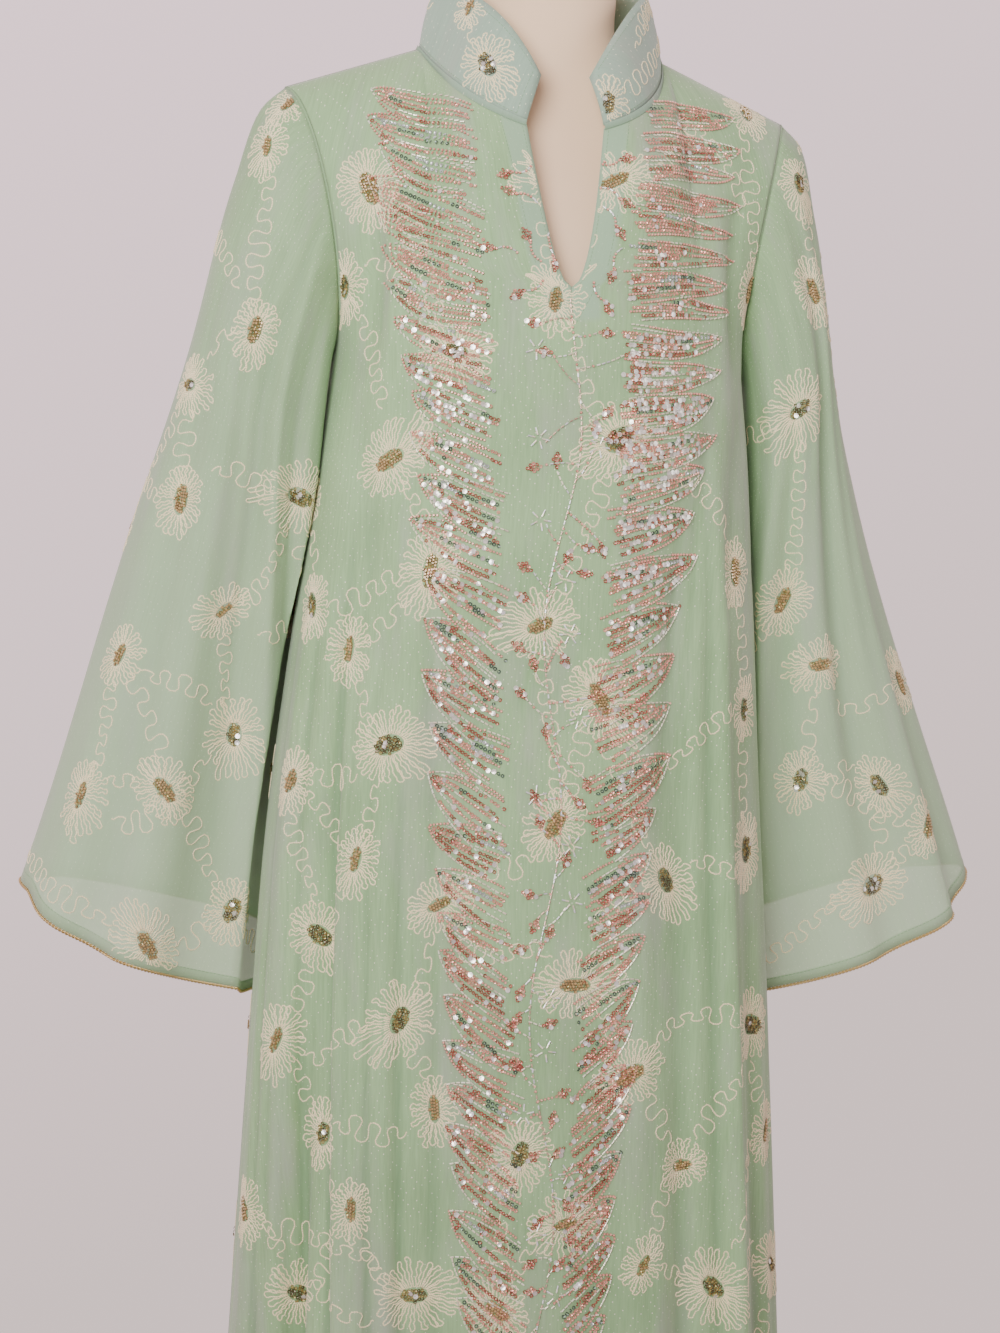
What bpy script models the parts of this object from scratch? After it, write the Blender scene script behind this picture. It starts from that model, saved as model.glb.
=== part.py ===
"""A long closed abaya with a stand collar, a slit neck and bell sleeves, worn by a limbless dress form.

Metres, +Z up. The wearer's front looks along -Y and the wearer's left is +X. The origin is the middle of
the stand's underside. Each cloth piece is a thin wall: front, back, collar, two sleeves and their piping.
"""

from math import cos, pi, radians, sin

import bmesh
import bpy
import numpy as np

# Driving dimensions of the garment
HEM_Z = 0.05
UNDERARM_Z = 1.22
NECK_POINT = (0.102, 0.015, 1.472)
SHOULDER_TIP = (0.208, 0.020, 1.432)
SHOULDER_DROP = 0.005
SLIT_TOP = (0.0315, -0.088, 1.402)
SLIT_BOTTOM = 0.25
SLIT_CURVE = 0.5
BACK_NECK = (0.0, 0.082, 1.474)
WALL = 0.0015
SEAM_GAP = 0.0005
SECTION_POWER = 0.90
NECK_SHARE = 0.45

# Body sections: height, half width, depth in front, depth behind
BODY_SECTIONS = (
    (1.22, 0.168, 0.128, 0.112),
    (1.07, 0.183, 0.127, 0.116),
    (0.94, 0.195, 0.129, 0.121),
    (0.80, 0.206, 0.132, 0.127),
    (0.62, 0.216, 0.137, 0.134),
    (0.40, 0.227, 0.143, 0.143),
    (0.05, 0.244, 0.154, 0.157),
)
SWAY = -0.012
SWAY_TOP = 1.20
SWAY_FULL = 0.80

# Skirt folds: angle at the hem (0 front, + to the wearer's left, 180 back), drift in degrees up to the
# start, height where the fold starts, depth at the hem (+ ridge, - valley), half width in degrees
SKIRT_FOLDS = (
    (-58, 6, 1.10, -0.025, 10),
    (-41, 8, 1.16, 0.012, 12),
    (-22, 6, 1.02, -0.011, 10),
    (-76, 5, 1.05, 0.010, 11),
    (14, -4, 0.95, -0.009, 10),
    (33, -3, 1.12, -0.023, 10),
    (50, -6, 1.15, 0.013, 12),
    (66, -6, 1.02, -0.012, 10),
    (84, -3, 1.05, 0.008, 12),
    (104, 2, 1.05, -0.012, 13),
    (124, 3, 1.12, 0.013, 13),
    (143, 4, 1.08, -0.017, 12),
    (163, 3, 1.14, 0.012, 13),
    (181, 0, 1.05, -0.013, 12),
    (-160, -3, 1.12, 0.013, 13),
    (-139, -4, 1.10, -0.018, 12),
    (-119, -3, 1.05, 0.012, 13),
    (-99, -2, 1.00, -0.009, 11),
)

FOLD_GROWTH = 0.6

# Front and back above the underarm: how each column of cloth leaves the underarm line at the armhole,
# and how it arrives at the slit or centre, at the neck point and at the shoulder tip
FRONT_RISE = {
    "armhole": (-0.01, -0.15, -0.10),
    "arrive": ((0.02, 0.05, 0.16), (0.0, 0.22, 0.075), (0.05, 0.22, 0.045)),
}
BACK_RISE = {
    "armhole": (-0.01, 0.14, -0.10),
    "arrive": ((0.0, -0.09, 0.15), (0.0, -0.23, 0.08), (0.05, -0.22, 0.045)),
}
RISE_PULL = 0.22
FRONT_NECK_CONTROL = (0.089, -0.080, 1.420)
BACK_NECK_CONTROL = (0.084, 0.080, 1.468)

# Collar: top edge at the front corner, the side and the back, with the points that bend it between them
COLLAR_CORNER = (0.0195, -0.0835, 1.440)
COLLAR_FRONT_CONTROL = (0.054, -0.085, 1.505)
COLLAR_SIDE = (0.088, 0.010, 1.524)
COLLAR_BACK_CONTROL = (0.080, 0.064, 1.532)
COLLAR_BACK = (0.0, 0.066, 1.530)
COLLAR_LIFT = 0.0022
COLLAR_BULGE = 0.0025

# Sleeve, from the armhole to the cuff: share of the length, outer line x, y, z, inner line x, y, z,
# half depth, sag of the front, sag of the back
SLEEVE_SECTIONS = (
    (0.00, 0.208, 0.020, 1.432, 0.168, 0.000, 1.220, 0.060, 0.000, 0.000),
    (0.05, 0.223, 0.022, 1.411, 0.174, 0.004, 1.205, 0.062, 0.001, 0.000),
    (0.14, 0.241, 0.028, 1.355, 0.178, 0.012, 1.165, 0.065, 0.004, 0.002),
    (0.30, 0.266, 0.036, 1.243, 0.180, 0.032, 1.078, 0.067, 0.010, 0.003),
    (0.50, 0.303, 0.042, 1.108, 0.184, 0.062, 0.962, 0.071, 0.018, 0.002),
    (0.75, 0.352, 0.046, 0.943, 0.174, 0.096, 0.832, 0.076, 0.030, -0.006),
    (1.00, 0.400, 0.048, 0.790, 0.162, 0.126, 0.715, 0.081, 0.047, -0.016),
)
SLEEVE_SPREAD = 0.011

# How the two cuffs differ: outer edge out, outer edge up, inner edge up
CUFF_SHIFT = {"right": (0.004, -0.009, 0.014), "left": (0.001, 0.006, 0.002)}
SLEEVE_POWER = 0.82
ARMHOLE_FADE = 0.30
CLEARANCE_TOP = 0.004
CLEARANCE_CUFF = 0.018
CUFF_Z = 0.71

# Sleeve folds: angle round the cuff (0 outer edge, 90 front, 180 inner edge, 270 back), share of the
# length where the fold starts, depth at the cuff, half width in degrees
SLEEVE_FOLDS = {
    "right": (
        (20, 0.30, 0.006, 20),
        (43, 0.25, -0.010, 17),
        (64, 0.15, 0.009, 16),
        (86, 0.20, -0.013, 16),
        (108, 0.15, 0.006, 16),
        (205, 0.25, -0.012, 20),
        (232, 0.20, 0.010, 18),
        (258, 0.15, -0.013, 18),
        (285, 0.25, 0.010, 18),
        (315, 0.30, -0.010, 18),
    ),
    "left": (
        (18, 0.35, -0.008, 16),
        (39, 0.15, 0.010, 16),
        (60, 0.10, -0.014, 16),
        (81, 0.20, 0.009, 15),
        (102, 0.25, -0.009, 16),
        (200, 0.30, -0.011, 20),
        (228, 0.20, 0.011, 19),
        (256, 0.15, -0.012, 18),
        (284, 0.20, 0.009, 18),
        (320, 0.30, -0.009, 20),
    ),
}
PIPING_RADIUS = 0.0016
PIPING_GAP = 0.0010
FACING_COLUMNS = 3
FACING_WALL = 0.0010
FACING_GAP = 0.0005

# Dress form sections: height, half width, depth in front, depth behind
FORM_SECTIONS = (
    (0.800, 0.140, 0.088, 0.098),
    (0.812, 0.154, 0.100, 0.108),
    (0.880, 0.163, 0.108, 0.112),
    (0.960, 0.146, 0.100, 0.098),
    (1.040, 0.120, 0.088, 0.082),
    (1.120, 0.128, 0.098, 0.086),
    (1.205, 0.142, 0.115, 0.096),
    (1.280, 0.148, 0.106, 0.098),
    (1.345, 0.158, 0.086, 0.088),
    (1.385, 0.160, 0.068, 0.076),
    (1.412, 0.146, 0.060, 0.068),
    (1.432, 0.116, 0.057, 0.062),
    (1.449, 0.080, 0.056, 0.060),
    (1.474, 0.061, 0.0555, 0.058),
    (1.520, 0.0575, 0.054, 0.056),
    (1.568, 0.0565, 0.053, 0.055),
    (1.574, 0.0525, 0.049, 0.051),
)
FORM_SIDES = 32
POLE_RADIUS = 0.016
BASE_RADIUS = 0.145
BASE_THICKNESS = 0.010
REST_GAP = 0.0003

# Grid of each cloth piece
FRONT_COLUMNS = 20
FRONT_LOWER_ROWS = 15
FRONT_SLIT_ROWS = 3
FRONT_TOP_ROWS = 6
BACK_COLUMNS = 16
BACK_LOWER_ROWS = 13
BACK_TOP_ROWS = 7
COLLAR_ROWS = 3
COLLAR_COLUMNS = 12
SLEEVE_ROWS = 13
SLEEVE_COLUMNS = 36


def smooth(share):
    share = np.clip(share, 0.0, 1.0)
    return share * share * (3.0 - 2.0 * share)


def table_curve(x, knots, values):
    """A smooth curve through a table's rows, with the slope at each row taken from its neighbours."""
    knots = np.asarray(knots, float)
    values = np.asarray(values, float)
    slopes = np.gradient(values, knots, axis=0)
    x = np.clip(x, knots[0], knots[-1])
    i = np.clip(np.searchsorted(knots, x, side="right") - 1, 0, len(knots) - 2)
    step = knots[i + 1] - knots[i]
    t = (x - knots[i]) / step
    if values.ndim > 1:
        t, step = t[..., None], step[..., None]
    return hermite(t, values[i], slopes[i] * step, values[i + 1], slopes[i + 1] * step)


def hermite(t, start, leave, end, arrive):
    t2, t3 = t * t, t * t * t
    return (
        (2 * t3 - 3 * t2 + 1) * start
        + (t3 - 2 * t2 + t) * leave
        + (3 * t2 - 2 * t3) * end
        + (t3 - t2) * arrive
    )


def body_size(z):
    """Half width, depth in front and depth behind of the hanging cloth at a height."""
    rows = np.array(BODY_SECTIONS)[::-1]
    return np.moveaxis(table_curve(z, rows[:, 0], rows[:, 1:]), -1, 0)


def skirt_fold(angle, z):
    """How far the cloth stands off its plain section, for angles in degrees round the body."""
    depth = np.zeros(np.broadcast(angle, z).shape)
    for at_hem, drift, top, amount, half in SKIRT_FOLDS:
        up = np.clip((z - HEM_Z) / (top - HEM_Z), 0.0, 1.0)
        centre = at_hem + drift * up
        away = (angle - centre + 180.0) % 360.0 - 180.0
        bump = np.where(np.abs(away) < half, 0.5 + 0.5 * np.cos(pi * away / half), 0.0)
        depth = depth + amount * (1.0 - up) ** FOLD_GROWTH * bump
    return depth


def body_ring(angle, z):
    """Point of the hanging cloth at an angle in degrees round the body, below the underarm."""
    width, front, behind = body_size(z)
    turn = np.radians(angle)
    across, along = np.sin(turn), -np.cos(turn)
    depth = np.where(along < 0, front, behind)
    x = width * np.sign(across) * np.abs(across) ** SECTION_POWER
    y = depth * np.sign(along) * np.abs(along) ** SECTION_POWER
    out = np.stack([x / width**2, y / depth**2], -1)
    out /= np.linalg.norm(out, axis=-1, keepdims=True)
    off = skirt_fold(angle, z)
    return np.stack([x + off * out[..., 0] + sway(z), y + off * out[..., 1], z + 0.0 * x], -1)


def sway(z):
    """The skirt hangs a little towards the wearer's right."""
    return SWAY * smooth((SWAY_TOP - z) / (SWAY_TOP - SWAY_FULL))


def bezier(t, start, control, end):
    t = np.asarray(t)[..., None]
    return (1 - t) ** 2 * np.array(start) + 2 * t * (1 - t) * np.array(control) + t**2 * np.array(end)


def shoulder_tip(side):
    """The wearer's left shoulder hangs a little lower than the right one."""
    return np.array(SHOULDER_TIP) - np.array([0.0, 0.0, SHOULDER_DROP * side])


def top_edge(share, side, behind):
    """Neckline, then shoulder seam, from the centre (0) to the shoulder tip (1)."""
    start, control = (BACK_NECK, BACK_NECK_CONTROL) if behind else (SLIT_TOP, FRONT_NECK_CONTROL)
    neck = bezier(np.clip(share / NECK_SHARE, 0, 1), start, control, NECK_POINT)
    along = np.clip((share - NECK_SHARE) / (1 - NECK_SHARE), 0, 1)[..., None]
    shoulder = np.array(NECK_POINT) * (1 - along) + shoulder_tip(side) * along
    return np.where(np.asarray(share)[..., None] < NECK_SHARE, neck, shoulder)


def upper_panel(share, up, side, behind):
    """Half of the front or back above the underarm: share 0 centre to 1 armhole, up 0 to 1."""
    share, up = np.broadcast_arrays(np.asarray(share, float), np.asarray(up, float))
    rise = BACK_RISE if behind else FRONT_RISE
    angle = 180.0 - 90.0 * share if behind else 90.0 * share
    flip = np.array([side, 1, 1])
    low = body_ring(angle * side, np.full(share.shape, UNDERARM_Z)) * flip
    lower = body_ring(angle * side, np.full(share.shape, UNDERARM_Z - 0.01)) * flip
    leave = (low - lower) / 0.01 * RISE_PULL
    leave = leave + share[..., None] ** 4 * np.array(rise["armhole"])
    high = top_edge(share, side, behind)
    arrive = table_curve(share, (0.0, NECK_SHARE, 1.0), rise["arrive"])
    point = hermite(up[..., None], low, leave, high, arrive)
    if not behind:
        centre = hermite(up, 0.0, 0.0, SLIT_TOP[0], rise["arrive"][0][0])
        opened = np.clip((up - SLIT_BOTTOM) / (1 - SLIT_BOTTOM), 0, 1) ** SLIT_CURVE
        point[..., 0] += (SLIT_TOP[0] * opened - centre) * (1 - share) ** 3
    return point


def panel(share, up, side, behind):
    """Point of the front or back. up runs 0 to 1 from hem to underarm and 1 to 2 above it."""
    share, up = np.broadcast_arrays(np.asarray(share, float), np.asarray(up, float))
    turn = 90.0 * share * side
    angle = 180.0 * side - turn if behind else turn
    z = HEM_Z + (UNDERARM_Z - HEM_Z) * np.clip(up, 0, 1)
    low = body_ring(angle, z)
    high = upper_panel(share, np.clip(up - 1, 0, 1), side, behind) * np.array([side, 1, 1])
    return np.where((up > 1)[..., None], high, low)


def armhole(angle, side):
    """Armhole loop, starting at the shoulder tip and going down the front to the underarm at 180 degrees."""
    front_share = 1 - np.clip(angle, 0, 180) / 180.0
    back_share = (np.clip(angle, 180, 360) - 180.0) / 180.0
    front = panel(1.0, 1 + front_share, side, False)
    back = panel(1.0, 1 + back_share, side, True)
    return np.where((np.asarray(angle) <= 180)[..., None], front, back)


def keep_off_body(point, side):
    """Pushes a sleeve's point out to just clear of the skirt beside it."""
    x, y, z = np.moveaxis(point, -1, 0)
    x = x - sway(z) * side
    width, front, behind = body_size(np.clip(z, HEM_Z, UNDERARM_Z))
    down = np.clip((UNDERARM_Z - z) / (UNDERARM_Z - CUFF_Z), 0, 1)
    off = CLEARANCE_TOP + (CLEARANCE_CUFF - CLEARANCE_TOP) * np.sqrt(down)
    depth = np.where(y < 0, front, behind) + off
    reach = np.sqrt((x / (width + off)) ** 2 + (y / depth) ** 2)
    push = np.where((z < UNDERARM_Z) & (reach < 1), 1.0 / np.maximum(reach, 0.05), 1.0)
    return np.stack([x * push + sway(z) * side, y * push, z], -1)


def sleeve(share, angle, name):
    """Point of a sleeve's outer face: share 0 armhole to 1 cuff, angle in degrees round it."""
    share, angle = np.broadcast_arrays(np.asarray(share, float), np.asarray(angle, float))
    side = 1.0 if name == "left" else -1.0
    rows = np.array(SLEEVE_SECTIONS)
    size = table_curve(share, rows[:, 0], rows[:, 1:])
    outer, inner = size[..., 0:3].copy(), size[..., 3:6].copy()
    outer_out, outer_up, inner_up = CUFF_SHIFT[name]
    spread = SLEEVE_SPREAD * smooth(share / ARMHOLE_FADE) * (1 - smooth(2 * share - 1))
    outer[..., 0] += outer_out * share**3 - spread * side
    outer[..., 2] += outer_up * share**3
    inner[..., 2] += inner_up * share**3
    middle, half = (outer + inner) / 2, (outer - inner) / 2
    flat = np.stack([half[..., 1], -half[..., 0], 0 * half[..., 0]], -1)
    flat /= np.linalg.norm(flat, axis=-1, keepdims=True)
    turn = np.radians(angle)
    power = 1 - (1 - SLEEVE_POWER) * smooth(share / ARMHOLE_FADE)
    across = (np.sign(np.cos(turn)) * np.abs(np.cos(turn)) ** power)[..., None]
    along = (np.sign(np.sin(turn)) * np.abs(np.sin(turn)) ** power)[..., None]
    fold = np.zeros(share.shape)
    for at, start, amount, width in SLEEVE_FOLDS[name]:
        away = (angle - at + 180.0) % 360.0 - 180.0
        bump = np.where(np.abs(away) < width, 0.5 + 0.5 * np.cos(pi * away / width), 0.0)
        fold += amount * np.clip((share - start) / (1 - start), 0, 1) ** 0.8 * bump
    swell = 1 + fold[..., None] / np.linalg.norm(half, axis=-1, keepdims=True)
    ring = middle + swell * (across * half + along * size[..., 6:7] * flat)
    sag = np.where(turn < pi, size[..., 7], size[..., 8])
    ring[..., 2] -= sag * np.abs(along[..., 0])
    plain_half = (rows[0, 1:4] - rows[0, 4:7]) / 2
    plain_flat = np.array([plain_half[1], -plain_half[0], 0]) / np.hypot(plain_half[0], plain_half[1])
    plain = (rows[0, 1:4] + rows[0, 4:7]) / 2
    plain = plain + np.cos(turn)[..., None] * plain_half
    plain = plain + np.sin(turn)[..., None] * rows[0, 7] * plain_flat
    start = armhole(angle, side) * np.array([side, 1, 1])
    fade = (1 - smooth(share / ARMHOLE_FADE))[..., None]
    ring = ring + fade * (start - plain)
    low = np.clip((180 - np.abs(angle - 180)) / 180.0, 0, 1)
    ring[..., 0] += fade[..., 0] * (SEAM_GAP + WALL * (0.8 + 0.6 * np.sqrt(low)))
    return keep_off_body(ring, side) * np.array([side, 1, 1])


def collar(around, up):
    """Point of the collar's outer face: around -1 to 1 from corner to corner through the back."""
    around, up = np.broadcast_arrays(np.asarray(around, float), np.asarray(up, float))
    side = np.where(around < 0, -1.0, 1.0)
    back = 1 - np.abs(around)
    front_share = np.clip(1 - back * 2, 0, 1)
    back_share = np.clip(back * 2 - 1, 0, 1)
    in_front = (back < 0.5)[..., None]
    base = np.where(
        in_front,
        top_edge(NECK_SHARE * (1 - front_share), 0, False),
        top_edge(NECK_SHARE * (1 - back_share), 0, True),
    )
    rim_front = bezier(1 - front_share, COLLAR_CORNER, COLLAR_FRONT_CONTROL, COLLAR_SIDE)
    rim_back = bezier(back_share, COLLAR_SIDE, COLLAR_BACK_CONTROL, COLLAR_BACK)
    rim = np.where(in_front, rim_front, rim_back)
    point = base + (rim - base) * up[..., None]
    bulge = COLLAR_BULGE * 4 * up * (1 - up)
    flat = point[..., :2] / np.linalg.norm(point[..., :2], axis=-1, keepdims=True)
    point[..., :2] += flat * bulge[..., None]
    point[..., 2] += COLLAR_LIFT
    return point * np.stack([side, 1 + 0 * side, 1 + 0 * side], -1)


def material(name, colour, roughness, metallic=0.0):
    made = bpy.data.materials.new(name)
    made.use_nodes = True
    shader = made.node_tree.nodes["Principled BSDF"]
    shader.inputs["Base Color"].default_value = (*colour, 1.0)
    shader.inputs["Roughness"].default_value = roughness
    shader.inputs["Metallic"].default_value = metallic
    return made


def add_mesh(name, points, faces, finish):
    mesh = bpy.data.meshes.new(name)
    mesh.from_pydata([tuple(map(float, p)) for p in points], [], faces)
    mesh.validate()
    mesh.shade_smooth()
    mesh.materials.append(finish)
    piece = bpy.data.objects.new(name, mesh)
    PARTS.objects.link(piece)
    return piece


def add_wall(piece, outward, thickness=WALL):
    """Gives an open surface its thickness: outward grows away from the wearer."""
    wall = piece.modifiers.new("Wall", "SOLIDIFY")
    wall.thickness = thickness
    wall.offset = 1.0 if outward else -1.0
    wall.use_even_offset = False
    return piece


def grid_faces(rows, columns, closed=False):
    """Faces of a grid of points stored row by row, the last column joined to the first if closed."""
    faces = []
    for r in range(rows - 1):
        for c in range(columns if closed else columns - 1):
            n = (c + 1) % columns
            faces.append((r * columns + c, r * columns + n, (r + 1) * columns + n, (r + 1) * columns + c))
    return faces


def row_heights(lower, *above):
    """Rows from hem to underarm (0 to 1), then the given stretches (first, last, rows) above it."""
    rows = list(np.linspace(0, 1, lower + 1))
    for first, last, count in above:
        rows += list(np.linspace(first, last, count + 1)[1:])
    return np.array(rows)


def slit_grid(shares, ups):
    """Points and faces of a front piece: the middle column is split in two above the slit's lower end."""
    halves = {s: panel(shares[None, :], ups[:, None], s, False) for s in (-1, 1)}
    points, index = [], {}
    for side, grid in halves.items():
        for r, up in enumerate(ups):
            for c in range(len(shares)):
                if c == 0 and side == 1 and up <= 1 + SLIT_BOTTOM + 1e-6:
                    index[side, r, c] = index[-1, r, c]
                    continue
                index[side, r, c] = len(points)
                points.append(grid[r, c] - np.array([0, SEAM_GAP / 2, 0]))
    faces = []
    for side in (-1, 1):
        for r in range(len(ups) - 1):
            for c in range(len(shares) - 1):
                corners = [(r, c), (r, c + 1), (r + 1, c + 1), (r + 1, c)]
                face = [index[side, a, b] for a, b in corners]
                faces.append(face if side == 1 else face[::-1])
    return np.array(points), faces


def make_front(finish):
    ups = row_heights(
        FRONT_LOWER_ROWS, (1.0, 1 + SLIT_BOTTOM, FRONT_SLIT_ROWS), (1 + SLIT_BOTTOM, 2.0, FRONT_TOP_ROWS)
    )
    points, faces = slit_grid(np.linspace(0, 1, FRONT_COLUMNS + 1), ups)
    return add_wall(add_mesh("front", points, faces, finish), True)


def make_facing(finish):
    """Strip behind the slit's edges, which shows through the front as a paler band. It takes the front's
    own rows and columns, so that the two lie parallel."""
    ups = row_heights(
        FRONT_LOWER_ROWS, (1.0, 1 + SLIT_BOTTOM, FRONT_SLIT_ROWS), (1 + SLIT_BOTTOM, 2.0, FRONT_TOP_ROWS)
    )[FRONT_LOWER_ROWS + 1 :]
    points, faces = slit_grid(np.arange(FACING_COLUMNS + 1) / FRONT_COLUMNS, ups)
    strip = add_mesh("facing", points, faces, finish)
    normals = np.array([vertex.normal[:] for vertex in strip.data.vertices])
    for vertex, point in zip(strip.data.vertices, points - normals * FACING_GAP):
        vertex.co = tuple(map(float, point))
    return add_wall(strip, False, FACING_WALL)


def make_back(finish):
    ups = row_heights(BACK_LOWER_ROWS, (1.0, 2.0, BACK_TOP_ROWS))
    shares = np.linspace(-1, 1, 2 * BACK_COLUMNS + 1)
    grid = np.stack([panel(abs(s), ups, 1 if s >= 0 else -1, True) for s in shares[::-1]], 1)
    grid[..., 1] += SEAM_GAP / 2
    return add_wall(add_mesh("back", grid.reshape(-1, 3), grid_faces(len(ups), len(shares)), finish), True)


def make_collar(finish):
    around = np.linspace(-1, 1, 2 * COLLAR_COLUMNS + 1)
    ups = np.linspace(0, 1, COLLAR_ROWS + 1)
    grid = collar(around[None, ::-1], ups[:, None])
    return add_wall(add_mesh("collar", grid.reshape(-1, 3), grid_faces(len(ups), len(around)), finish), False)


def make_sleeve(name, finish):
    shares = np.linspace(0, 1, SLEEVE_ROWS + 1) ** 1.25
    angles = np.arange(SLEEVE_COLUMNS) * 360.0 / SLEEVE_COLUMNS
    grid = sleeve(shares[:, None], angles[None, :], name)
    faces = grid_faces(len(shares), len(angles), closed=True)
    if name == "right":
        faces = [f[::-1] for f in faces]
    return add_wall(add_mesh("sleeve_" + name, grid.reshape(-1, 3), faces, finish), False)


def make_piping(name, finish):
    """Gold cord along the cuff's edge."""
    angles = np.arange(SLEEVE_COLUMNS) * 360.0 / SLEEVE_COLUMNS
    edge = sleeve(1.0, angles, name)
    down = edge - sleeve(0.98, angles, name)
    down /= np.linalg.norm(down, axis=1, keepdims=True)
    inward = edge.mean(0) - edge
    inward /= np.linalg.norm(inward, axis=1, keepdims=True)
    line = edge + inward * WALL / 2 + down * (PIPING_RADIUS + PIPING_GAP)
    curve = bpy.data.curves.new("piping_" + name, "CURVE")
    curve.dimensions = "3D"
    spline = curve.splines.new("POLY")
    spline.points.add(len(line) - 1)
    for point, place in zip(spline.points, line):
        point.co = (*map(float, place), 1.0)
    spline.use_cyclic_u = True
    curve.bevel_depth = PIPING_RADIUS
    curve.bevel_resolution = 1
    curve.materials.append(finish)
    piece = bpy.data.objects.new("piping_" + name, curve)
    PARTS.objects.link(piece)
    return piece


def make_form(finish):
    """Torso and neck of the dress form, a loft of rounded sections closed at both ends."""
    rows = np.array(FORM_SECTIONS)
    angles = np.arange(FORM_SIDES) * 360.0 / FORM_SIDES
    turn = np.radians(angles)[None, :]
    across, along = np.sin(turn), -np.cos(turn)
    width, front, behind = rows[:, 1:2], rows[:, 2:3], rows[:, 3:4]
    x = width * np.sign(across) * np.abs(across) ** SECTION_POWER
    y = np.where(along < 0, front, behind) * np.sign(along) * np.abs(along) ** SECTION_POWER
    grid = np.stack([x, y, rows[:, 0:1] + 0 * x], -1)
    faces = grid_faces(len(rows), FORM_SIDES, closed=True)
    last = (len(rows) - 1) * FORM_SIDES
    faces.append(tuple(reversed(range(FORM_SIDES))))
    faces.append(tuple(range(last, last + FORM_SIDES)))
    return add_mesh("form", grid.reshape(-1, 3), faces, finish)


def make_cylinder(name, radius, low, high, sides, finish):
    bpy.ops.mesh.primitive_cylinder_add(
        vertices=sides, radius=radius, depth=high - low, location=(0, 0, (low + high) / 2)
    )
    piece = bpy.context.object
    piece.name = name
    piece.data.materials.append(finish)
    piece.data.shade_smooth()
    piece.data.set_sharp_from_angle(angle=radians(35))
    for holder in piece.users_collection:
        holder.objects.unlink(piece)
    PARTS.objects.link(piece)
    return piece


for old in list(bpy.data.objects):
    bpy.data.objects.remove(old, do_unlink=True)
PARTS = bpy.data.collections.new("abaya")
bpy.context.scene.collection.children.link(PARTS)

chiffon = material("green_chiffon", (0.42, 0.55, 0.38), 0.75)
fused = material("collar_cloth", (0.42, 0.53, 0.45), 0.75)
gold = material("gold_cord", (0.66, 0.50, 0.22), 0.35, 0.9)
jersey = material("form_jersey", (0.72, 0.58, 0.46), 0.8)
steel = material("stand_steel", (0.62, 0.62, 0.62), 0.35, 1.0)

make_front(chiffon)
make_back(chiffon)
make_facing(fused)
make_collar(fused)
for which in ("right", "left"):
    make_sleeve(which, chiffon)
    make_piping(which, gold)
make_form(jersey)
make_cylinder("stand_base", BASE_RADIUS, 0.0, BASE_THICKNESS, 48, steel)
make_cylinder(
    "stand_pole", POLE_RADIUS, BASE_THICKNESS + REST_GAP, FORM_SECTIONS[0][0] - REST_GAP, 20, steel
)
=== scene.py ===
"""Looks of the green abaya on its dress form: creased cloth shells, cord flowers, sequin leaves and trim.

Metres, +Z up. The wearer's front looks along -Y and the wearer's left is +X, as in the frame. Every cloth
is a grid of points on its outer face. All the embroidery is laid on those grids, so it follows the folds.
"""

from math import cos, pi, radians, sin, tau

import bmesh
import bpy
import numpy as np
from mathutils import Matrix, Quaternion, Vector
from mathutils.kdtree import KDTree


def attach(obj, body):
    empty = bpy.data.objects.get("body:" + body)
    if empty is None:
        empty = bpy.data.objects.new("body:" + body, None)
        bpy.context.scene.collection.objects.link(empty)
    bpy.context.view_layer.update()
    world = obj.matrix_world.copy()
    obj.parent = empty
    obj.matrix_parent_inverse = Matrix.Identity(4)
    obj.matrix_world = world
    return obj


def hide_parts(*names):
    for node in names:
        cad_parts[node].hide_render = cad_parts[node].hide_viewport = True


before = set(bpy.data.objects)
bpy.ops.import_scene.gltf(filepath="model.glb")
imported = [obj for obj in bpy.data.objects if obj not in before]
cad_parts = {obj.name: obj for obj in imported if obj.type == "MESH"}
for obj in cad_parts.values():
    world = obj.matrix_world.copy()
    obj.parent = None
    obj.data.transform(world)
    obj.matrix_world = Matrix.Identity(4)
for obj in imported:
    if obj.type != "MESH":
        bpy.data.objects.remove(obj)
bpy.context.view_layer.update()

SEED = 7

# Camera: the photo's angle on the garment, with the same small roll and shift
CAMERA_AZIMUTH = -12.0
CAMERA_ELEVATION = 2.0
CAMERA_ROLL = 1.3
CAMERA_TARGET = (0.0, 0.0, 0.97)
CAMERA_DISTANCE = 2.6
VIEW_HEIGHT = 1.0997
SENSOR = 36.0
CAMERA_SHIFT = -0.0225

# Garment sizes, the same as the frame's
HEM_Z = 0.05
UNDERARM_Z = 1.22
NECK_POINT = (0.102, 0.015, 1.472)
SHOULDER_TIP = (0.208, 0.020, 1.432)
SHOULDER_DROP = 0.005
SLIT_TOP = (0.0315, -0.088, 1.402)
SLIT_BOTTOM = 0.25
SLIT_CURVE = 0.5
BACK_NECK = (0.0, 0.082, 1.474)
WALL = 0.0015
SEAM_GAP = 0.0005
SECTION_POWER = 0.90
NECK_SHARE = 0.45

# Body sections: height, half width, depth in front, depth behind
BODY_SECTIONS = (
    (1.22, 0.168, 0.128, 0.112), (1.07, 0.183, 0.127, 0.116), (0.94, 0.195, 0.129, 0.121),
    (0.80, 0.206, 0.132, 0.127), (0.62, 0.216, 0.137, 0.134), (0.40, 0.227, 0.143, 0.143),
    (0.05, 0.244, 0.154, 0.157),
)
SWAY = -0.012
SWAY_TOP = 1.20
SWAY_FULL = 0.80

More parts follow.
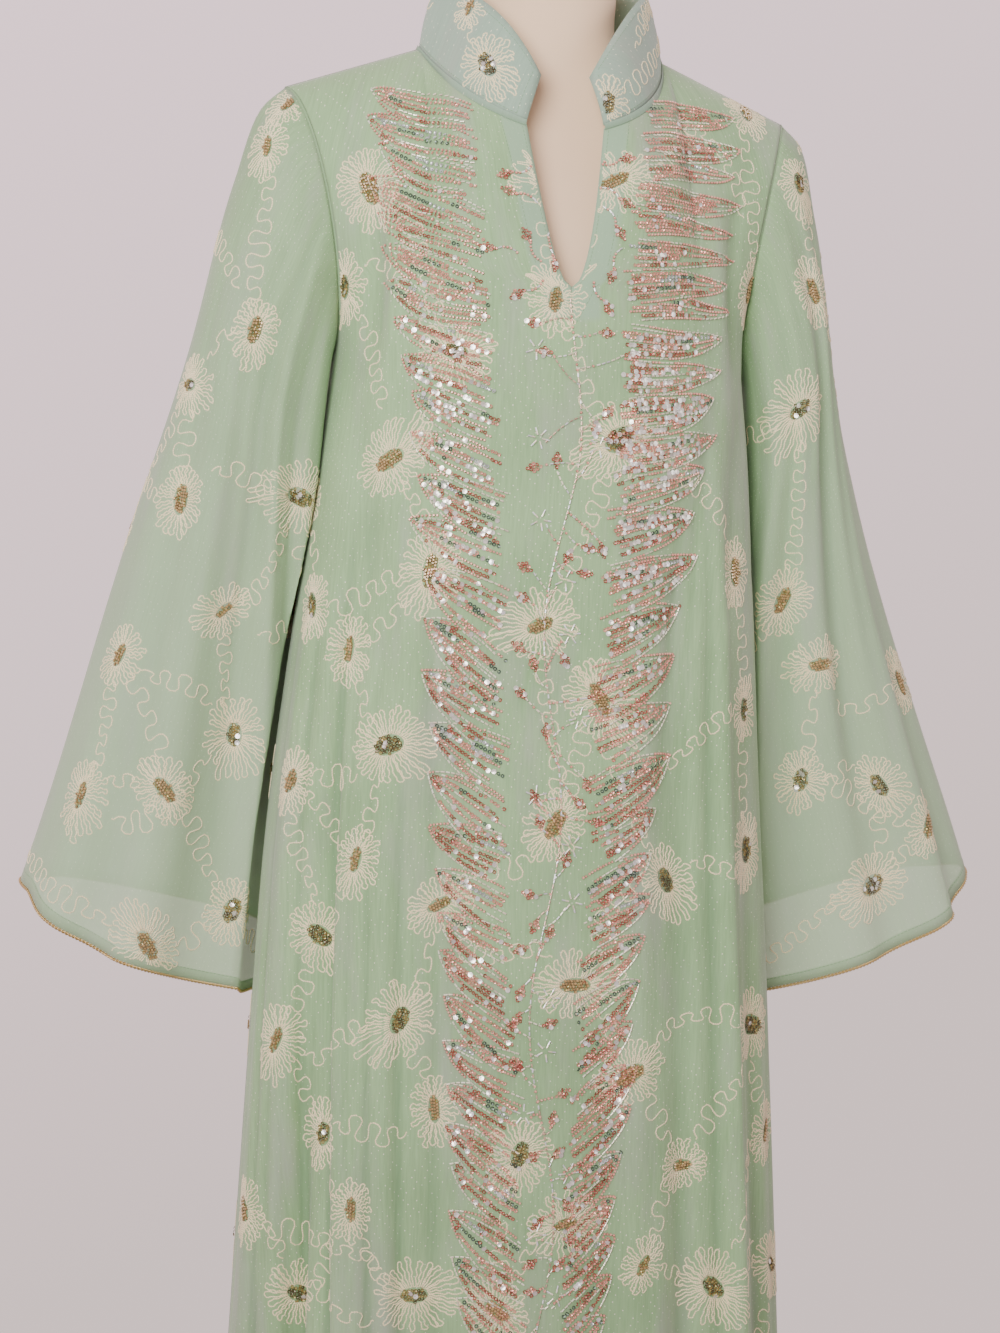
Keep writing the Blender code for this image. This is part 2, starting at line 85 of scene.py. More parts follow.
# Skirt folds: angle at the hem (0 front, + to the wearer's left, 180 back), drift in degrees up to the
# start, height where the fold starts, depth at the hem (+ ridge, - valley), half width in degrees
SKIRT_FOLDS = (
    (-58, 6, 1.10, -0.025, 10), (-41, 8, 1.16, 0.012, 12), (-22, 6, 1.02, -0.011, 10),
    (-76, 5, 1.05, 0.010, 11), (14, -4, 0.95, -0.009, 10), (33, -3, 1.12, -0.023, 10),
    (50, -6, 1.15, 0.013, 12), (66, -6, 1.02, -0.012, 10), (84, -3, 1.05, 0.008, 12),
    (104, 2, 1.05, -0.012, 13), (124, 3, 1.12, 0.013, 13), (143, 4, 1.08, -0.017, 12),
    (163, 3, 1.14, 0.012, 13), (181, 0, 1.05, -0.013, 12), (-160, -3, 1.12, 0.013, 13),
    (-139, -4, 1.10, -0.018, 12), (-119, -3, 1.05, 0.012, 13), (-99, -2, 1.00, -0.009, 11),
)
FOLD_GROWTH = 0.6

# Finer creases that only the looks have, in the same columns
SKIRT_CREASES = (
    (-62, -20, 1.02, -0.0065, 3.4), (-53, -22, 1.04, 0.0050, 3.2), (-45, -24, 1.05, -0.0080, 2.6),
    (-40, -24, 1.08, 0.0045, 2.6), (-35, -24, 1.10, -0.0110, 2.7), (-31, -23, 1.08, 0.0060, 2.8),
    (-27, -15, 1.00, -0.0070, 2.2), (-24, -13, 1.00, 0.0045, 2.1), (-21, -12, 0.98, -0.0062, 2.1),
    (-15, -9, 0.92, -0.0036, 2.6), (-6, 2, 0.70, 0.0015, 4.5), (6, -2, 0.78, -0.0015, 4.0),
    (19, 6, 0.88, -0.0030, 3.2), (28, 2, 1.00, 0.0060, 7.0), (41, 0, 1.17, -0.0130, 4.4),
    (47, 0, 1.12, 0.0080, 3.6), (52, 2, 1.00, -0.0026, 3.0), (57, -6, 1.03, -0.0026, 4.0),
    (72, -5, 0.94, 0.0022, 4.0), (79, -4, 1.06, -0.0025, 4.0), (-70, 5, 1.07, -0.0026, 4.0),
    (-83, 4, 1.00, 0.0024, 4.0), (97, 1, 0.95, 0.0022, 4.5), (112, 3, 1.02, -0.0026, 4.0),
    (134, 3, 0.98, -0.0022, 4.0), (122, -8, 1.05, -0.0050, 2.6), (143, 4, 1.12, -0.0070, 3.2),
    (151, 4, 1.01, 0.0024, 4.0), (163, -6, 1.00, 0.0042, 2.6), (172, 1, 0.92, -0.0036, 3.0),
    (-171, -1, 0.97, 0.0022, 4.0), (-149, -3, 1.04, 0.0026, 4.0), (-139, -4, 1.13, -0.0070, 3.2),
    (-160, 7, 0.98, -0.0042, 2.5), (-128, -3, 0.94, -0.0022, 4.0), (-113, 9, 1.08, -0.0050, 2.6),
    (-105, 4, 1.00, 0.0032, 3.5), (-91, -1, 0.90, -0.0024, 4.0),
)

# Creases above and beside the folds, as lines on the front and back seen square on: x and z of one end,
# x and z of the other, how far the middle bows to +X, depth (- trough, + ridge), half width
FRONT_CREASES = (
    (-0.150, 1.375, -0.152, 1.190, 0.006, -0.0065, 0.010),
    (-0.134, 1.370, -0.140, 1.180, 0.004, 0.0045, 0.009),
    (-0.165, 1.230, -0.150, 1.020, 0.004, -0.0045, 0.010),
    (-0.118, 1.190, -0.128, 1.000, 0.004, -0.0030, 0.009),
    (-0.126, 1.120, -0.122, 0.860, 0.003, 0.0034, 0.008),
    (-0.180, 1.100, -0.172, 0.880, 0.003, 0.0024, 0.010),
    (0.152, 1.360, 0.150, 1.200, -0.006, -0.0060, 0.010),
    (0.134, 1.340, 0.140, 1.160, -0.004, 0.0040, 0.010),
    (0.162, 1.220, 0.146, 1.010, -0.004, -0.0048, 0.010),
    (0.120, 1.180, 0.112, 0.980, -0.004, -0.0036, 0.008),
    (-0.175, 1.418, -0.150, 1.330, 0.005, -0.0018, 0.010),
    (0.178, 1.410, 0.150, 1.325, -0.005, -0.0018, 0.010),
    (-0.108, 1.030, -0.102, 0.760, 0.002, -0.0016, 0.006),
    (0.100, 1.120, 0.084, 0.860, -0.002, -0.0018, 0.006),
    (-0.092, 1.448, -0.070, 1.380, 0.004, -0.0014, 0.008),
    (0.094, 1.444, 0.072, 1.372, -0.004, -0.0014, 0.008),
)
BACK_CREASES = (
    (-0.150, 1.350, -0.148, 1.180, 0.006, -0.0040, 0.012),
    (-0.110, 1.300, -0.122, 1.080, 0.006, -0.0026, 0.012),
    (-0.060, 1.260, -0.070, 1.020, 0.004, 0.0020, 0.013),
    (-0.020, 1.230, -0.026, 0.960, 0.004, -0.0020, 0.012),
    (0.028, 1.270, 0.030, 1.000, -0.004, 0.0020, 0.012),
    (0.070, 1.250, 0.078, 1.040, -0.004, -0.0024, 0.012),
    (0.112, 1.310, 0.120, 1.090, -0.006, -0.0026, 0.012),
    (0.152, 1.340, 0.148, 1.170, -0.006, -0.0040, 0.012),
    (-0.085, 1.455, -0.050, 1.400, 0.004, -0.0016, 0.010),
    (0.085, 1.450, 0.050, 1.396, -0.004, -0.0016, 0.010),
)

# Front and back above the underarm: how each column of cloth leaves the underarm line at the armhole,
# and how it arrives at the slit or centre, at the neck point and at the shoulder tip
FRONT_RISE = {
    "armhole": (-0.01, -0.15, -0.10),
    "arrive": ((0.02, 0.05, 0.16), (0.0, 0.22, 0.075), (0.05, 0.22, 0.045)),
}
BACK_RISE = {
    "armhole": (-0.01, 0.14, -0.10),
    "arrive": ((0.0, -0.09, 0.15), (0.0, -0.23, 0.08), (0.05, -0.22, 0.045)),
}
RISE_PULL = 0.22
RISE_STEP = 0.01
FRONT_NECK_CONTROL = (0.089, -0.080, 1.420)
BACK_NECK_CONTROL = (0.084, 0.080, 1.468)

# Collar: top edge at the front corner, the side and the back, with the points that bend it between them
COLLAR_CORNER = (0.0195, -0.0835, 1.440)
COLLAR_FRONT_CONTROL = (0.054, -0.085, 1.505)
COLLAR_SIDE = (0.088, 0.010, 1.524)
COLLAR_BACK_CONTROL = (0.080, 0.064, 1.532)
COLLAR_BACK = (0.0, 0.066, 1.530)
COLLAR_LIFT = 0.0022
COLLAR_BULGE = 0.0025

# Sleeve, from the armhole to the cuff: share of the length, outer line x, y, z, inner line x, y, z,
# half depth, sag of the front, sag of the back
SLEEVE_SECTIONS = (
    (0.00, 0.208, 0.020, 1.432, 0.168, 0.000, 1.220, 0.060, 0.000, 0.000),
    (0.05, 0.226, 0.022, 1.4150, 0.174, 0.004, 1.205, 0.062, 0.001, 0.000),
    (0.14, 0.243, 0.028, 1.3575, 0.178, 0.012, 1.165, 0.065, 0.004, 0.002),
    (0.30, 0.266, 0.036, 1.243, 0.180, 0.032, 1.078, 0.067, 0.010, 0.003),
    (0.50, 0.303, 0.042, 1.108, 0.184, 0.062, 0.962, 0.071, 0.018, 0.002),
    (0.75, 0.352, 0.046, 0.943, 0.174, 0.096, 0.832, 0.076, 0.030, -0.006),
    (1.00, 0.400, 0.048, 0.790, 0.162, 0.126, 0.715, 0.081, 0.047, -0.016),
)
SLEEVE_SPREAD = 0.011
CUFF_SHIFT = {"right": (0.004, -0.009, 0.014), "left": (0.001, 0.006, 0.002)}
SLEEVE_POWER = 0.82
SLEEVE_GROWTH = 0.8
ARMHOLE_FADE = 0.30
CLEARANCE_TOP = 0.003
CLEARANCE_CUFF = {-1: 0.011, 1: 0.016}
CUFF_Z = 0.71

# Sleeve folds: angle round the cuff (0 outer edge, 90 front, 180 inner edge, 270 back), share of the
# length where the fold starts, depth at the cuff, half width in degrees
SLEEVE_FOLDS = {
    "right": (
        (20, 0.30, 0.006, 20), (43, 0.25, -0.010, 17), (64, 0.15, 0.009, 16), (86, 0.20, -0.013, 16),
        (108, 0.15, 0.006, 16), (205, 0.25, -0.012, 20), (232, 0.20, 0.010, 18), (258, 0.15, -0.013, 18),
        (285, 0.25, 0.010, 18), (315, 0.30, -0.010, 18),
    ),
    "left": (
        (18, 0.35, -0.008, 16), (39, 0.15, 0.010, 16), (60, 0.10, -0.014, 16), (81, 0.20, 0.009, 15),
        (102, 0.25, -0.009, 16), (200, 0.30, -0.011, 20), (228, 0.20, 0.011, 19), (256, 0.15, -0.012, 18),
        (284, 0.20, 0.009, 18), (320, 0.30, -0.009, 20),
    ),
}

# Finer sleeve creases: angle, share where it starts, share where it ends, depth, half width in degrees
SLEEVE_CREASES = {
    "right": (
        (35, 0.04, 0.60, -0.0022, 8), (52, 0.10, 0.95, 0.0022, 8), (74, 0.02, 0.75, -0.0028, 8),
        (98, 0.06, 0.55, 0.0024, 9), (118, 0.02, 0.90, -0.0034, 9), (134, 0.05, 0.70, 0.0026, 9),
        (152, 0.00, 0.62, 0.0150, 30), (150, 0.45, 1.02, 0.0080, 26), (84, 0.02, 0.95, -0.0060, 16),
        (91, 0.02, 0.90, -0.0080, 8), (101, 0.04, 0.86, 0.0060, 9), (225, 0.03, 0.80, -0.0026, 10),
        (246, 0.08, 0.60, 0.0022, 10), (272, 0.03, 0.85, -0.0028, 10), (300, 0.05, 0.70, 0.0024, 10),
        (330, 0.04, 0.65, -0.0022, 9),
    ),
    "left": (
        (28, 0.05, 0.65, -0.0022, 8), (50, 0.02, 0.90, 0.0024, 8), (70, 0.06, 0.95, -0.0030, 8),
        (62, 0.03, 0.80, -0.0080, 14), (42, 0.10, 0.98, -0.0060, 12), (102, 0.02, 0.80, -0.0070, 13),
        (92, 0.02, 0.60, 0.0024, 8), (112, 0.04, 0.85, -0.0032, 9), (128, 0.06, 0.75, 0.0026, 8),
        (144, 0.02, 0.65, -0.0028, 9), (222, 0.04, 0.75, -0.0026, 10), (244, 0.06, 0.65, 0.0022, 10),
        (268, 0.02, 0.80, -0.0028, 10), (296, 0.06, 0.75, 0.0024, 10), (326, 0.04, 0.60, -0.0022, 9),
    ),
}

# Dress form sections: height, half width, depth in front, depth behind
FORM_SECTIONS = (
    (0.800, 0.140, 0.088, 0.098), (0.812, 0.154, 0.100, 0.108), (0.880, 0.163, 0.108, 0.112),
    (0.960, 0.146, 0.100, 0.098), (1.040, 0.120, 0.088, 0.082), (1.120, 0.128, 0.098, 0.086),
    (1.205, 0.142, 0.115, 0.096), (1.280, 0.148, 0.106, 0.098), (1.345, 0.158, 0.086, 0.088),
    (1.385, 0.160, 0.068, 0.076), (1.412, 0.146, 0.060, 0.068), (1.432, 0.116, 0.057, 0.062),
    (1.449, 0.080, 0.056, 0.060), (1.474, 0.061, 0.0555, 0.058), (1.520, 0.0575, 0.054, 0.056),
    (1.568, 0.0565, 0.053, 0.055), (1.574, 0.0525, 0.049, 0.051),
)
POLE_RADIUS = 0.016
BASE_RADIUS = 0.145
BASE_THICKNESS = 0.010

# Fineness of the cloth shells
BODY_COLUMNS = 72
BODY_LOWER_ROWS = 117
BODY_TOP_ROWS = 36
SLEEVE_ROWS = 76
SLEEVE_COLUMNS = 108
COLLAR_ROWS = 10
COLLAR_COLUMNS = 72
BODY_SHELL = 0.0008
SLEEVE_SHELL = 0.0005
COLLAR_SHELL = 0.0012
OUTER_FACE = 0.0010

# Cord embroidery
CORD_HALF_WIDTH = 0.00058
CORD_HEIGHT = 0.0007
CORD_LEAP = 0.014
FLOWER_SIZE = 0.92
PETAL_PITCH = 0.0071
PETAL_TIP = 0.0021
PETAL_BASE = 0.0006
PETAL_START = 0.0012
PETAL_SHARES = (0, 0.12, 0.25, 0.38, 0.51, 0.64, 0.76, 0.88, 1.0)
VINE_WAVE = 0.0172
VINE_SWING = 0.0070
VINE_CURL = 0.0030

# Flowers seen from the front or back: x, z and radius in mm, direction of the long petals in degrees
# (0 to the viewer's right, 90 up), how much longer they are in percent, and the filling of the middle
# (1 gold sequins, 0 thread)
FLOWERS = {
    "collar": (
        (-61, 1450, 30, 330, 45, 1), (34, 1422, 24, 250, 30, 1), (-70, 1500, 22, 120, 30, 0),
    ),
    "front": (
        (-150, 1350, 34, 300, 25, 0), (-166, 1272, 30, 250, 40, 1), (-136, 1134, 34, 60, 55, 0),
        (-188, 1018, 28, 270, 20, 1), (-162, 984, 27, 290, 30, 0), (-204, 878, 28, 250, 20, 0),
        (-136, 911, 36, 355, 45, 1), (-158, 820, 28, 270, 30, 0), (-181, 757, 29, 300, 30, 1),
        (-213, 672, 32, 270, 30, 0), (-124, 696, 34, 225, 60, 1), (-177, 601, 30, 290, 15, 1),
        (-159, 547, 24, 260, 20, 0), (-233, 533, 28, 270, 25, 0), (-191, 470, 32, 340, 30, 1),
        (-108, 480, 36, 10, 35, 1), (-95, 626, 26, 270, 30, 0), (-94, 787, 28, 240, 20, 0),
        (-106, 1048, 32, 240, 40, 0), (-90, 1220, 30, 20, 30, 1), (-13, 1262, 30, 90, 30, 0),
        (37, 1359, 33, 200, 25, 0), (41, 1154, 36, 215, 60, 1), (-20, 1007, 34, 200, 40, 0),
        (30, 949, 36, 330, 60, 0), (-5, 851, 30, 250, 15, 0), (90, 805, 31, 295, 55, 1),
        (170, 825, 32, 240, 35, 1), (178, 681, 35, 200, 40, 1), (61, 652, 32, 30, 30, 0),
        (110, 575, 25, 200, 20, 0), (197, 591, 26, 270, 20, 0), (140, 475, 37, 335, 40, 1),
        (-29, 592, 32, 250, 25, 1), (14, 724, 34, 30, 50, 0), (9, 536, 32, 0, 20, 0),
        (171, 1432, 27, 300, 20, 0), (168, 1283, 28, 250, 30, 0), (152, 1052, 28, 250, 30, 0),
        (165, 940, 27, 70, 30, 1), (-45, 470, 28, 120, 20, 0), (75, 500, 24, 60, 20, 0),
    ),
    "back": (
        (0, 1395, 32, 270, 30, 1), (-110, 1370, 30, 300, 40, 0), (112, 1355, 33, 220, 40, 1),
    ),
    "sleeve_right": (
        (-208, 1422, 24, 250, 20, 0), (-227, 1385, 26, 270, 25, 0), (-197, 1104, 35, 165, 50, 1),
        (-284, 1193, 29, 330, 35, 1), (-290, 1100, 29, 260, 20, 0), (-237, 1236, 26, 270, 45, 0),
        (-194, 1016, 26, 270, 25, 0), (-243, 911, 33, 280, 50, 1), (-300, 867, 30, 160, 25, 0),
        (-365, 860, 30, 290, 40, 0), (-336, 974, 27, 230, 20, 0), (-255, 1012, 26, 200, 30, 0),
        (-311, 741, 36, 150, 35, 0), (-241, 767, 28, 270, 40, 1),
    ),
    "sleeve_left": (
        (214, 1374, 28, 270, 45, 1), (227, 1286, 30, 280, 25, 0), (215, 1187, 36, 240, 60, 1),
        (212, 1029, 30, 250, 30, 0), (244, 976, 30, 200, 30, 0), (234, 878, 28, 250, 20, 1),
        (304, 874, 28, 320, 50, 1), (300, 789, 35, 205, 55, 1), (350, 840, 28, 60, 30, 0),
        (330, 960, 27, 100, 30, 0),
    ),
}
LATTICE_STEP = (0.118, 0.100)
LATTICE_CLEAR = 0.088
VINE_REACH = 0.172

# Middles of the flowers: half length for a radius of 32 mm, then the slimmest and the fullest ovals
MIDDLES = {"gold": (0.0105, 0.50, 0.66), "thread": (0.0118, 0.38, 0.54)}
FILLINGS = {"gold": ("gold", "bronze", "gold", "bronze"), "thread": ("thread", "thread", "thread", "gold")}

# Sequin leaves beside the front's centre: height of the tip, pitch, height of a leaf at its inner end, then
# for each side the distance of the inner ends and of the tips from the centre line and how far the top row
# falls from the tip to its inner end
LEAF_BANDS = {
    -1: (
        (1.428, 0.0250, 0.022, 0.077, 0.146, 0.020), (1.380, 0.0260, 0.024, 0.076, 0.150, 0.022),
        (1.300, 0.0275, 0.026, 0.072, 0.141, 0.018), (1.235, 0.0285, 0.028, 0.067, 0.132, 0.015),
        (1.170, 0.0330, 0.034, 0.060, 0.123, 0.016), (1.090, 0.0380, 0.040, 0.052, 0.115, 0.017),
        (1.010, 0.0430, 0.045, 0.046, 0.105, 0.017), (0.930, 0.0430, 0.045, 0.040, 0.097, 0.016),
        (0.850, 0.0350, 0.037, 0.035, 0.090, 0.014), (0.710, 0.0340, 0.036, 0.027, 0.081, 0.016),
        (0.470, 0.0345, 0.037, 0.015, 0.062, 0.020), (0.060, 0.0360, 0.038, 0.013, 0.053, 0.020),
    ),
    1: (
        (1.428, 0.0250, 0.022, 0.070, 0.162, -0.008), (1.380, 0.0240, 0.024, 0.062, 0.156, -0.008),
        (1.300, 0.0225, 0.024, 0.051, 0.141, -0.006), (1.235, 0.0240, 0.026, 0.046, 0.136, -0.002),
        (1.170, 0.0290, 0.032, 0.043, 0.126, 0.004), (1.090, 0.0370, 0.039, 0.039, 0.114, 0.010),
        (1.010, 0.0420, 0.044, 0.037, 0.106, 0.014), (0.930, 0.0430, 0.045, 0.036, 0.101, 0.014),
        (0.850, 0.0350, 0.037, 0.038, 0.090, 0.012), (0.710, 0.0340, 0.036, 0.031, 0.079, 0.014),
        (0.470, 0.0345, 0.037, 0.018, 0.057, 0.018), (0.060, 0.0360, 0.038, 0.013, 0.050, 0.018),
    ),
}
LEAF_TOP = 1.428
LEAF_LOW = 0.100
LEAF_ROW_GAP = 0.0031
LEAF_SHOULDER = 0.0035
LEAF_SWING = 0.0026
BEAD_ROOM = 0.0023
BEAD_LIFT = 0.0010

# Beads and sequins: shape, its half size, its pitch along a row, how many stand in a run, colour
BEADS = {
    "rose": ("ring", 0.00150, 0.0029, 5, (0.98, 0.36, 0.29)),
    "copper": ("ring", 0.00160, 0.0030, 6, (0.44, 0.11, 0.08)),
    "seed": ("drop", 0.00125, 0.0026, 4, (1.0, 0.44, 0.35)),
    "dash": ("tube", 0.00155, 0.0038, 3, (1.0, 0.91, 0.72)),
    "twig": ("tube", 0.00145, 0.0038, 3, (0.66, 0.44, 0.33)),
    "lilac": ("ring", 0.00160, 0.0032, 4, (0.66, 0.66, 0.70)),
    "silver": ("tube", 0.00150, 0.0040, 4, (0.88, 0.88, 0.90)),
    "dark": ("ring", 0.00165, 0.0036, 3, (0.09, 0.13, 0.11)),
    # mirror: white foil discs, half metallic, whose white is partly a painted glint
    "mirror": ("disc", 0.00210, 0.0037, 2, (1.0, 0.95, 0.87)),
    "gold": ("ring", 0.00145, 0.0026, 5, (0.36, 0.26, 0.08)),
    "bronze": ("ring", 0.00145, 0.0026, 5, (0.12, 0.085, 0.035)),
    "thread": ("drop", 0.00145, 0.0025, 5, (0.50, 0.34, 0.16)),
}
# What the rows of a leaf are made of, from its top row to its bottom row: kinds and their shares
LEAF_ROWS = (
    (("seed", 0.60), ("dash", 0.40)),
    (("seed", 0.45), ("rose", 0.30), ("dash", 0.25)),
    (("copper", 0.40), ("rose", 0.36), ("dark", 0.14), ("lilac", 0.10)),
    (("rose", 0.43), ("lilac", 0.12), ("dark", 0.22), ("copper", 0.23)),
    (("seed", 0.45), ("dash", 0.20), ("rose", 0.35)),
    (("copper", 0.45), ("rose", 0.35), ("dark", 0.20)),
    (("seed", 0.50), ("rose", 0.25), ("dash", 0.25)),
    (("copper", 0.60), ("rose", 0.40)),
    (("seed", 0.45), ("dash", 0.55)),
)

# Share of bright foil sequins by height, and how much more or less each band has of them. These white discs
# are real foil sequins placed as painted glints: most at the bust, where the light glints, and more on the
# band away from the key light
GLINTS = ((0.0, 0.9, 1.0, 1.08, 1.20, 1.25, 1.31), (0.05, 0.07, 0.12, 0.22, 0.25, 0.14, 0.02))
GLINT_SHARE = {-1: 1.1, 1: 1.5}
FOIL_TILT = 0.85
BEAD_TILT = 0.24
HEADING_STEP = 0.0008

# How metallic each shape is. The foil disc is only half metallic, so its white base shows as a painted glint
FOIL = {"ring": 0.48, "disc": 0.55, "drop": 0.15, "tube": 0.25}

# Buds beside the slit: x, z, where each points in degrees, the side to which its stalk bends
SLIT_BUDS = (
    (-0.046, 1.362, 200, 1), (-0.043, 1.344, 160, -1), (-0.033, 1.306, 120, 1), (-0.038, 1.268, 210, 1),
    (-0.012, 1.296, 260, -1), (-0.060, 1.300, 170, -1), (0.042, 1.376, 10, -1), (0.040, 1.344, 330, 1),
    (0.036, 1.322, 300, 1), (0.034, 1.288, 250, -1), (0.026, 1.262, 300, -1),
)
# Rows of sequins in a bud: distance from its foot and how many
BUD_ROWS = ((0.0010, 1), (0.0037, 2), (0.0065, 3), (0.0093, 2), (0.0120, 1))
# Room for a twig beside the centre line, by height
TWIG_ROOM = ((0.1, 0.5, 0.7, 0.9, 1.25), (0.010, 0.012, 0.020, 0.032, 0.046))

# Trim
TWIST_PITCH = 0.0062
TWIST_STEPS = 6
STRAND_RADIUS = 0.00085
STRAND_SIDES = 5
HEM_DEPTH = 0.009
STITCH = 0.0022
STITCH_GAP = 0.0012
STITCH_HALF_WIDTH = 0.00022

# In rows and columns of cloth: what stays free at the edges, and under and beside the slit
EDGE_CLEAR = 0.4
SLIT_CLEAR = (0.3, 0.42)
# Area in square metres under which a cell of cloth counts as seen edge on
EDGE_ON = 4e-6
SLIT_ROW = BODY_LOWER_ROWS + SLIT_BOTTOM * BODY_TOP_ROWS


def smooth(share):
    share = np.clip(share, 0.0, 1.0)
    return share * share * (3.0 - 2.0 * share)


def between(value, start, end):
    """Share of the way from start to end, kept within 0 and 1."""
    return np.clip((value - start) / (end - start), 0.0, 1.0)


def common(*values):
    """The values as float arrays of one shape."""
    return np.broadcast_arrays(*(np.asarray(value, float) for value in values))


def powered(value, power):
    return np.sign(value) * np.abs(value) ** power


def turned(a, b, angle):
    """The point a, b turned by an angle in radians."""
    return a * cos(angle) - b * sin(angle), a * sin(angle) + b * cos(angle)


def unit(vectors):
    return vectors / np.maximum(np.linalg.norm(vectors, axis=-1, keepdims=True), 1e-12)


def square_to(vectors, normals):
    """Unit vectors at a right angle to the normals, as near the given ones as they can be."""
    return unit(vectors - (vectors * normals).sum(-1, keepdims=True) * normals)


def lengths(points):
    """Distance of each point along its line, from 0 at the first."""
    return np.concatenate([[0], np.cumsum(np.linalg.norm(np.diff(points, axis=0), axis=1))])


def along_line(at, along, points):
    """Points at given distances along a line."""
    return np.stack([np.interp(at, along, values) for values in np.transpose(points)], -1)


def ridge(angle, centre, half):
    """A rounded ridge of height 1 at an angle in degrees, 0 beyond its half width."""
    away = (angle - centre + 180.0) % 360.0 - 180.0
    return np.where(np.abs(away) < half, 0.5 + 0.5 * np.cos(pi * away / half), 0.0)


def hermite(t, start, leave, end, arrive):
    t2, t3 = t * t, t * t * t
    shape = (2 * t3 - 3 * t2 + 1) * start + (t3 - 2 * t2 + t) * leave
    return shape + (3 * t2 - 2 * t3) * end + (t3 - t2) * arrive


def table_curve(x, knots, values):
    """A smooth curve through a table's rows, with the slope at each row taken from its neighbours."""
    knots, values = np.asarray(knots, float), np.asarray(values, float)
    slopes = np.gradient(values, knots, axis=0)
    x = np.clip(x, knots[0], knots[-1])
    i = np.clip(np.searchsorted(knots, x, side="right") - 1, 0, len(knots) - 2)
    step = knots[i + 1] - knots[i]
    t = (x - knots[i]) / step
    if values.ndim > 1:
        t, step = t[..., None], step[..., None]
    return hermite(t, values[i], slopes[i] * step, values[i + 1], slopes[i + 1] * step)


def bezier(t, start, control, end):
    t = np.asarray(t, float)[..., None]
    return (1 - t) ** 2 * np.array(start) + 2 * t * (1 - t) * np.array(control) + t**2 * np.array(end)


# The garment's surfaces, as in the frame


def body_size(z):
    rows = np.array(BODY_SECTIONS)[::-1]
    return np.moveaxis(table_curve(z, rows[:, 0], rows[:, 1:]), -1, 0)


def section(turn, width, front, behind):
    """x, y and depth of a rounded section, at a turn in radians from the front to the wearer's left."""
    across, along = np.sin(turn), -np.cos(turn)
    depth = np.where(along < 0, front, behind)
    return width * powered(across, SECTION_POWER), depth * powered(along, SECTION_POWER), depth


def fold_depth(angle, z, folds):
    """How far the cloth stands off its plain section, for angles in degrees round the body."""
    depth = np.zeros(np.broadcast(angle, z).shape)
    for at_hem, drift, top, amount, half in folds:
        up = between(z, HEM_Z, top)
        depth = depth + amount * (1.0 - up) ** FOLD_GROWTH * ridge(angle, at_hem + drift * up, half)
    return depth


def sway(z):
    return SWAY * smooth(between(z, SWAY_TOP, SWAY_FULL))


def body_ring(angle, z):
    """Point of the hanging cloth at an angle in degrees round the body, below the underarm."""
    width, front, behind = body_size(z)
    x, y, depth = section(np.radians(angle), width, front, behind)
    out = unit(np.stack([x / width**2, y / depth**2], -1))
    off = fold_depth(angle, z, SKIRT_FOLDS)
    return np.stack([x + off * out[..., 0] + sway(z), y + off * out[..., 1], z + 0.0 * x], -1)


def top_edge(share, side, behind):
    """Neckline, then shoulder seam, from the centre (0) to the shoulder tip (1)."""
    start, control = (BACK_NECK, BACK_NECK_CONTROL) if behind else (SLIT_TOP, FRONT_NECK_CONTROL)
    neck = bezier(np.clip(share / NECK_SHARE, 0, 1), start, control, NECK_POINT)
    along = between(share, NECK_SHARE, 1)[..., None]
    tip = np.array(SHOULDER_TIP) - np.array([0.0, 0.0, SHOULDER_DROP * side])
    shoulder = np.array(NECK_POINT) * (1 - along) + tip * along
    return np.where(np.asarray(share)[..., None] < NECK_SHARE, neck, shoulder)


def upper_panel(share, up, side, behind):
    """Half of the front or back above the underarm: share 0 centre to 1 armhole, up 0 to 1."""
    rise = BACK_RISE if behind else FRONT_RISE
    angle = 180.0 - 90.0 * share if behind else 90.0 * share
    low, lower = (
        body_ring(angle * side, np.full(share.shape, UNDERARM_Z - below)) * [side, 1, 1]
        for below in (0.0, RISE_STEP)
    )
    leave = (low - lower) / RISE_STEP * RISE_PULL + share[..., None] ** 4 * np.array(rise["armhole"])
    arrive = table_curve(share, (0.0, NECK_SHARE, 1.0), rise["arrive"])
    point = hermite(up[..., None], low, leave, top_edge(share, side, behind), arrive)
    if not behind:
        centre = hermite(up, 0.0, 0.0, SLIT_TOP[0], rise["arrive"][0][0])
        opened = between(up, SLIT_BOTTOM, 1) ** SLIT_CURVE
        point[..., 0] += (SLIT_TOP[0] * opened - centre) * (1 - share) ** 3
    return point


def panel(share, up, side, behind):
    """Point of the front or back. up runs 0 to 1 from hem to underarm and 1 to 2 above it."""
    share, up = common(share, up)
    turn = 90.0 * share * side
    angle = 180.0 * side - turn if behind else turn
    low = body_ring(angle, HEM_Z + (UNDERARM_Z - HEM_Z) * np.clip(up, 0, 1))
    high = upper_panel(share, np.clip(up - 1, 0, 1), side, behind) * np.array([side, 1, 1])
    return np.where((up > 1)[..., None], high, low)


def armhole(angle, side):
    """Armhole loop, starting at the shoulder tip and going down the front to the underarm at 180 degrees."""
    front = panel(1.0, 2 - np.clip(angle, 0, 180) / 180.0, side, False)
    back = panel(1.0, 1 + (np.clip(angle, 180, 360) - 180.0) / 180.0, side, True)
    return np.where((np.asarray(angle) <= 180)[..., None], front, back)


def keep_off_body(point, side):
    """Pushes a sleeve's point out to just clear of the skirt beside it."""
    x, y, z = np.moveaxis(point, -1, 0)
    x = x - sway(z) * side
    width, front, behind = body_size(np.clip(z, HEM_Z, UNDERARM_Z))
    off = CLEARANCE_TOP + (CLEARANCE_CUFF[side] - CLEARANCE_TOP) * between(z, UNDERARM_Z, CUFF_Z)
    depth = np.where(y < 0, front, behind) + off
    reach = np.sqrt((x / (width + off)) ** 2 + (y / depth) ** 2)
    push = np.where((z < UNDERARM_Z) & (reach < 1), 1.0 / np.maximum(reach, 0.05), 1.0)
    return np.stack([x * push + sway(z) * side, y * push, z], -1)


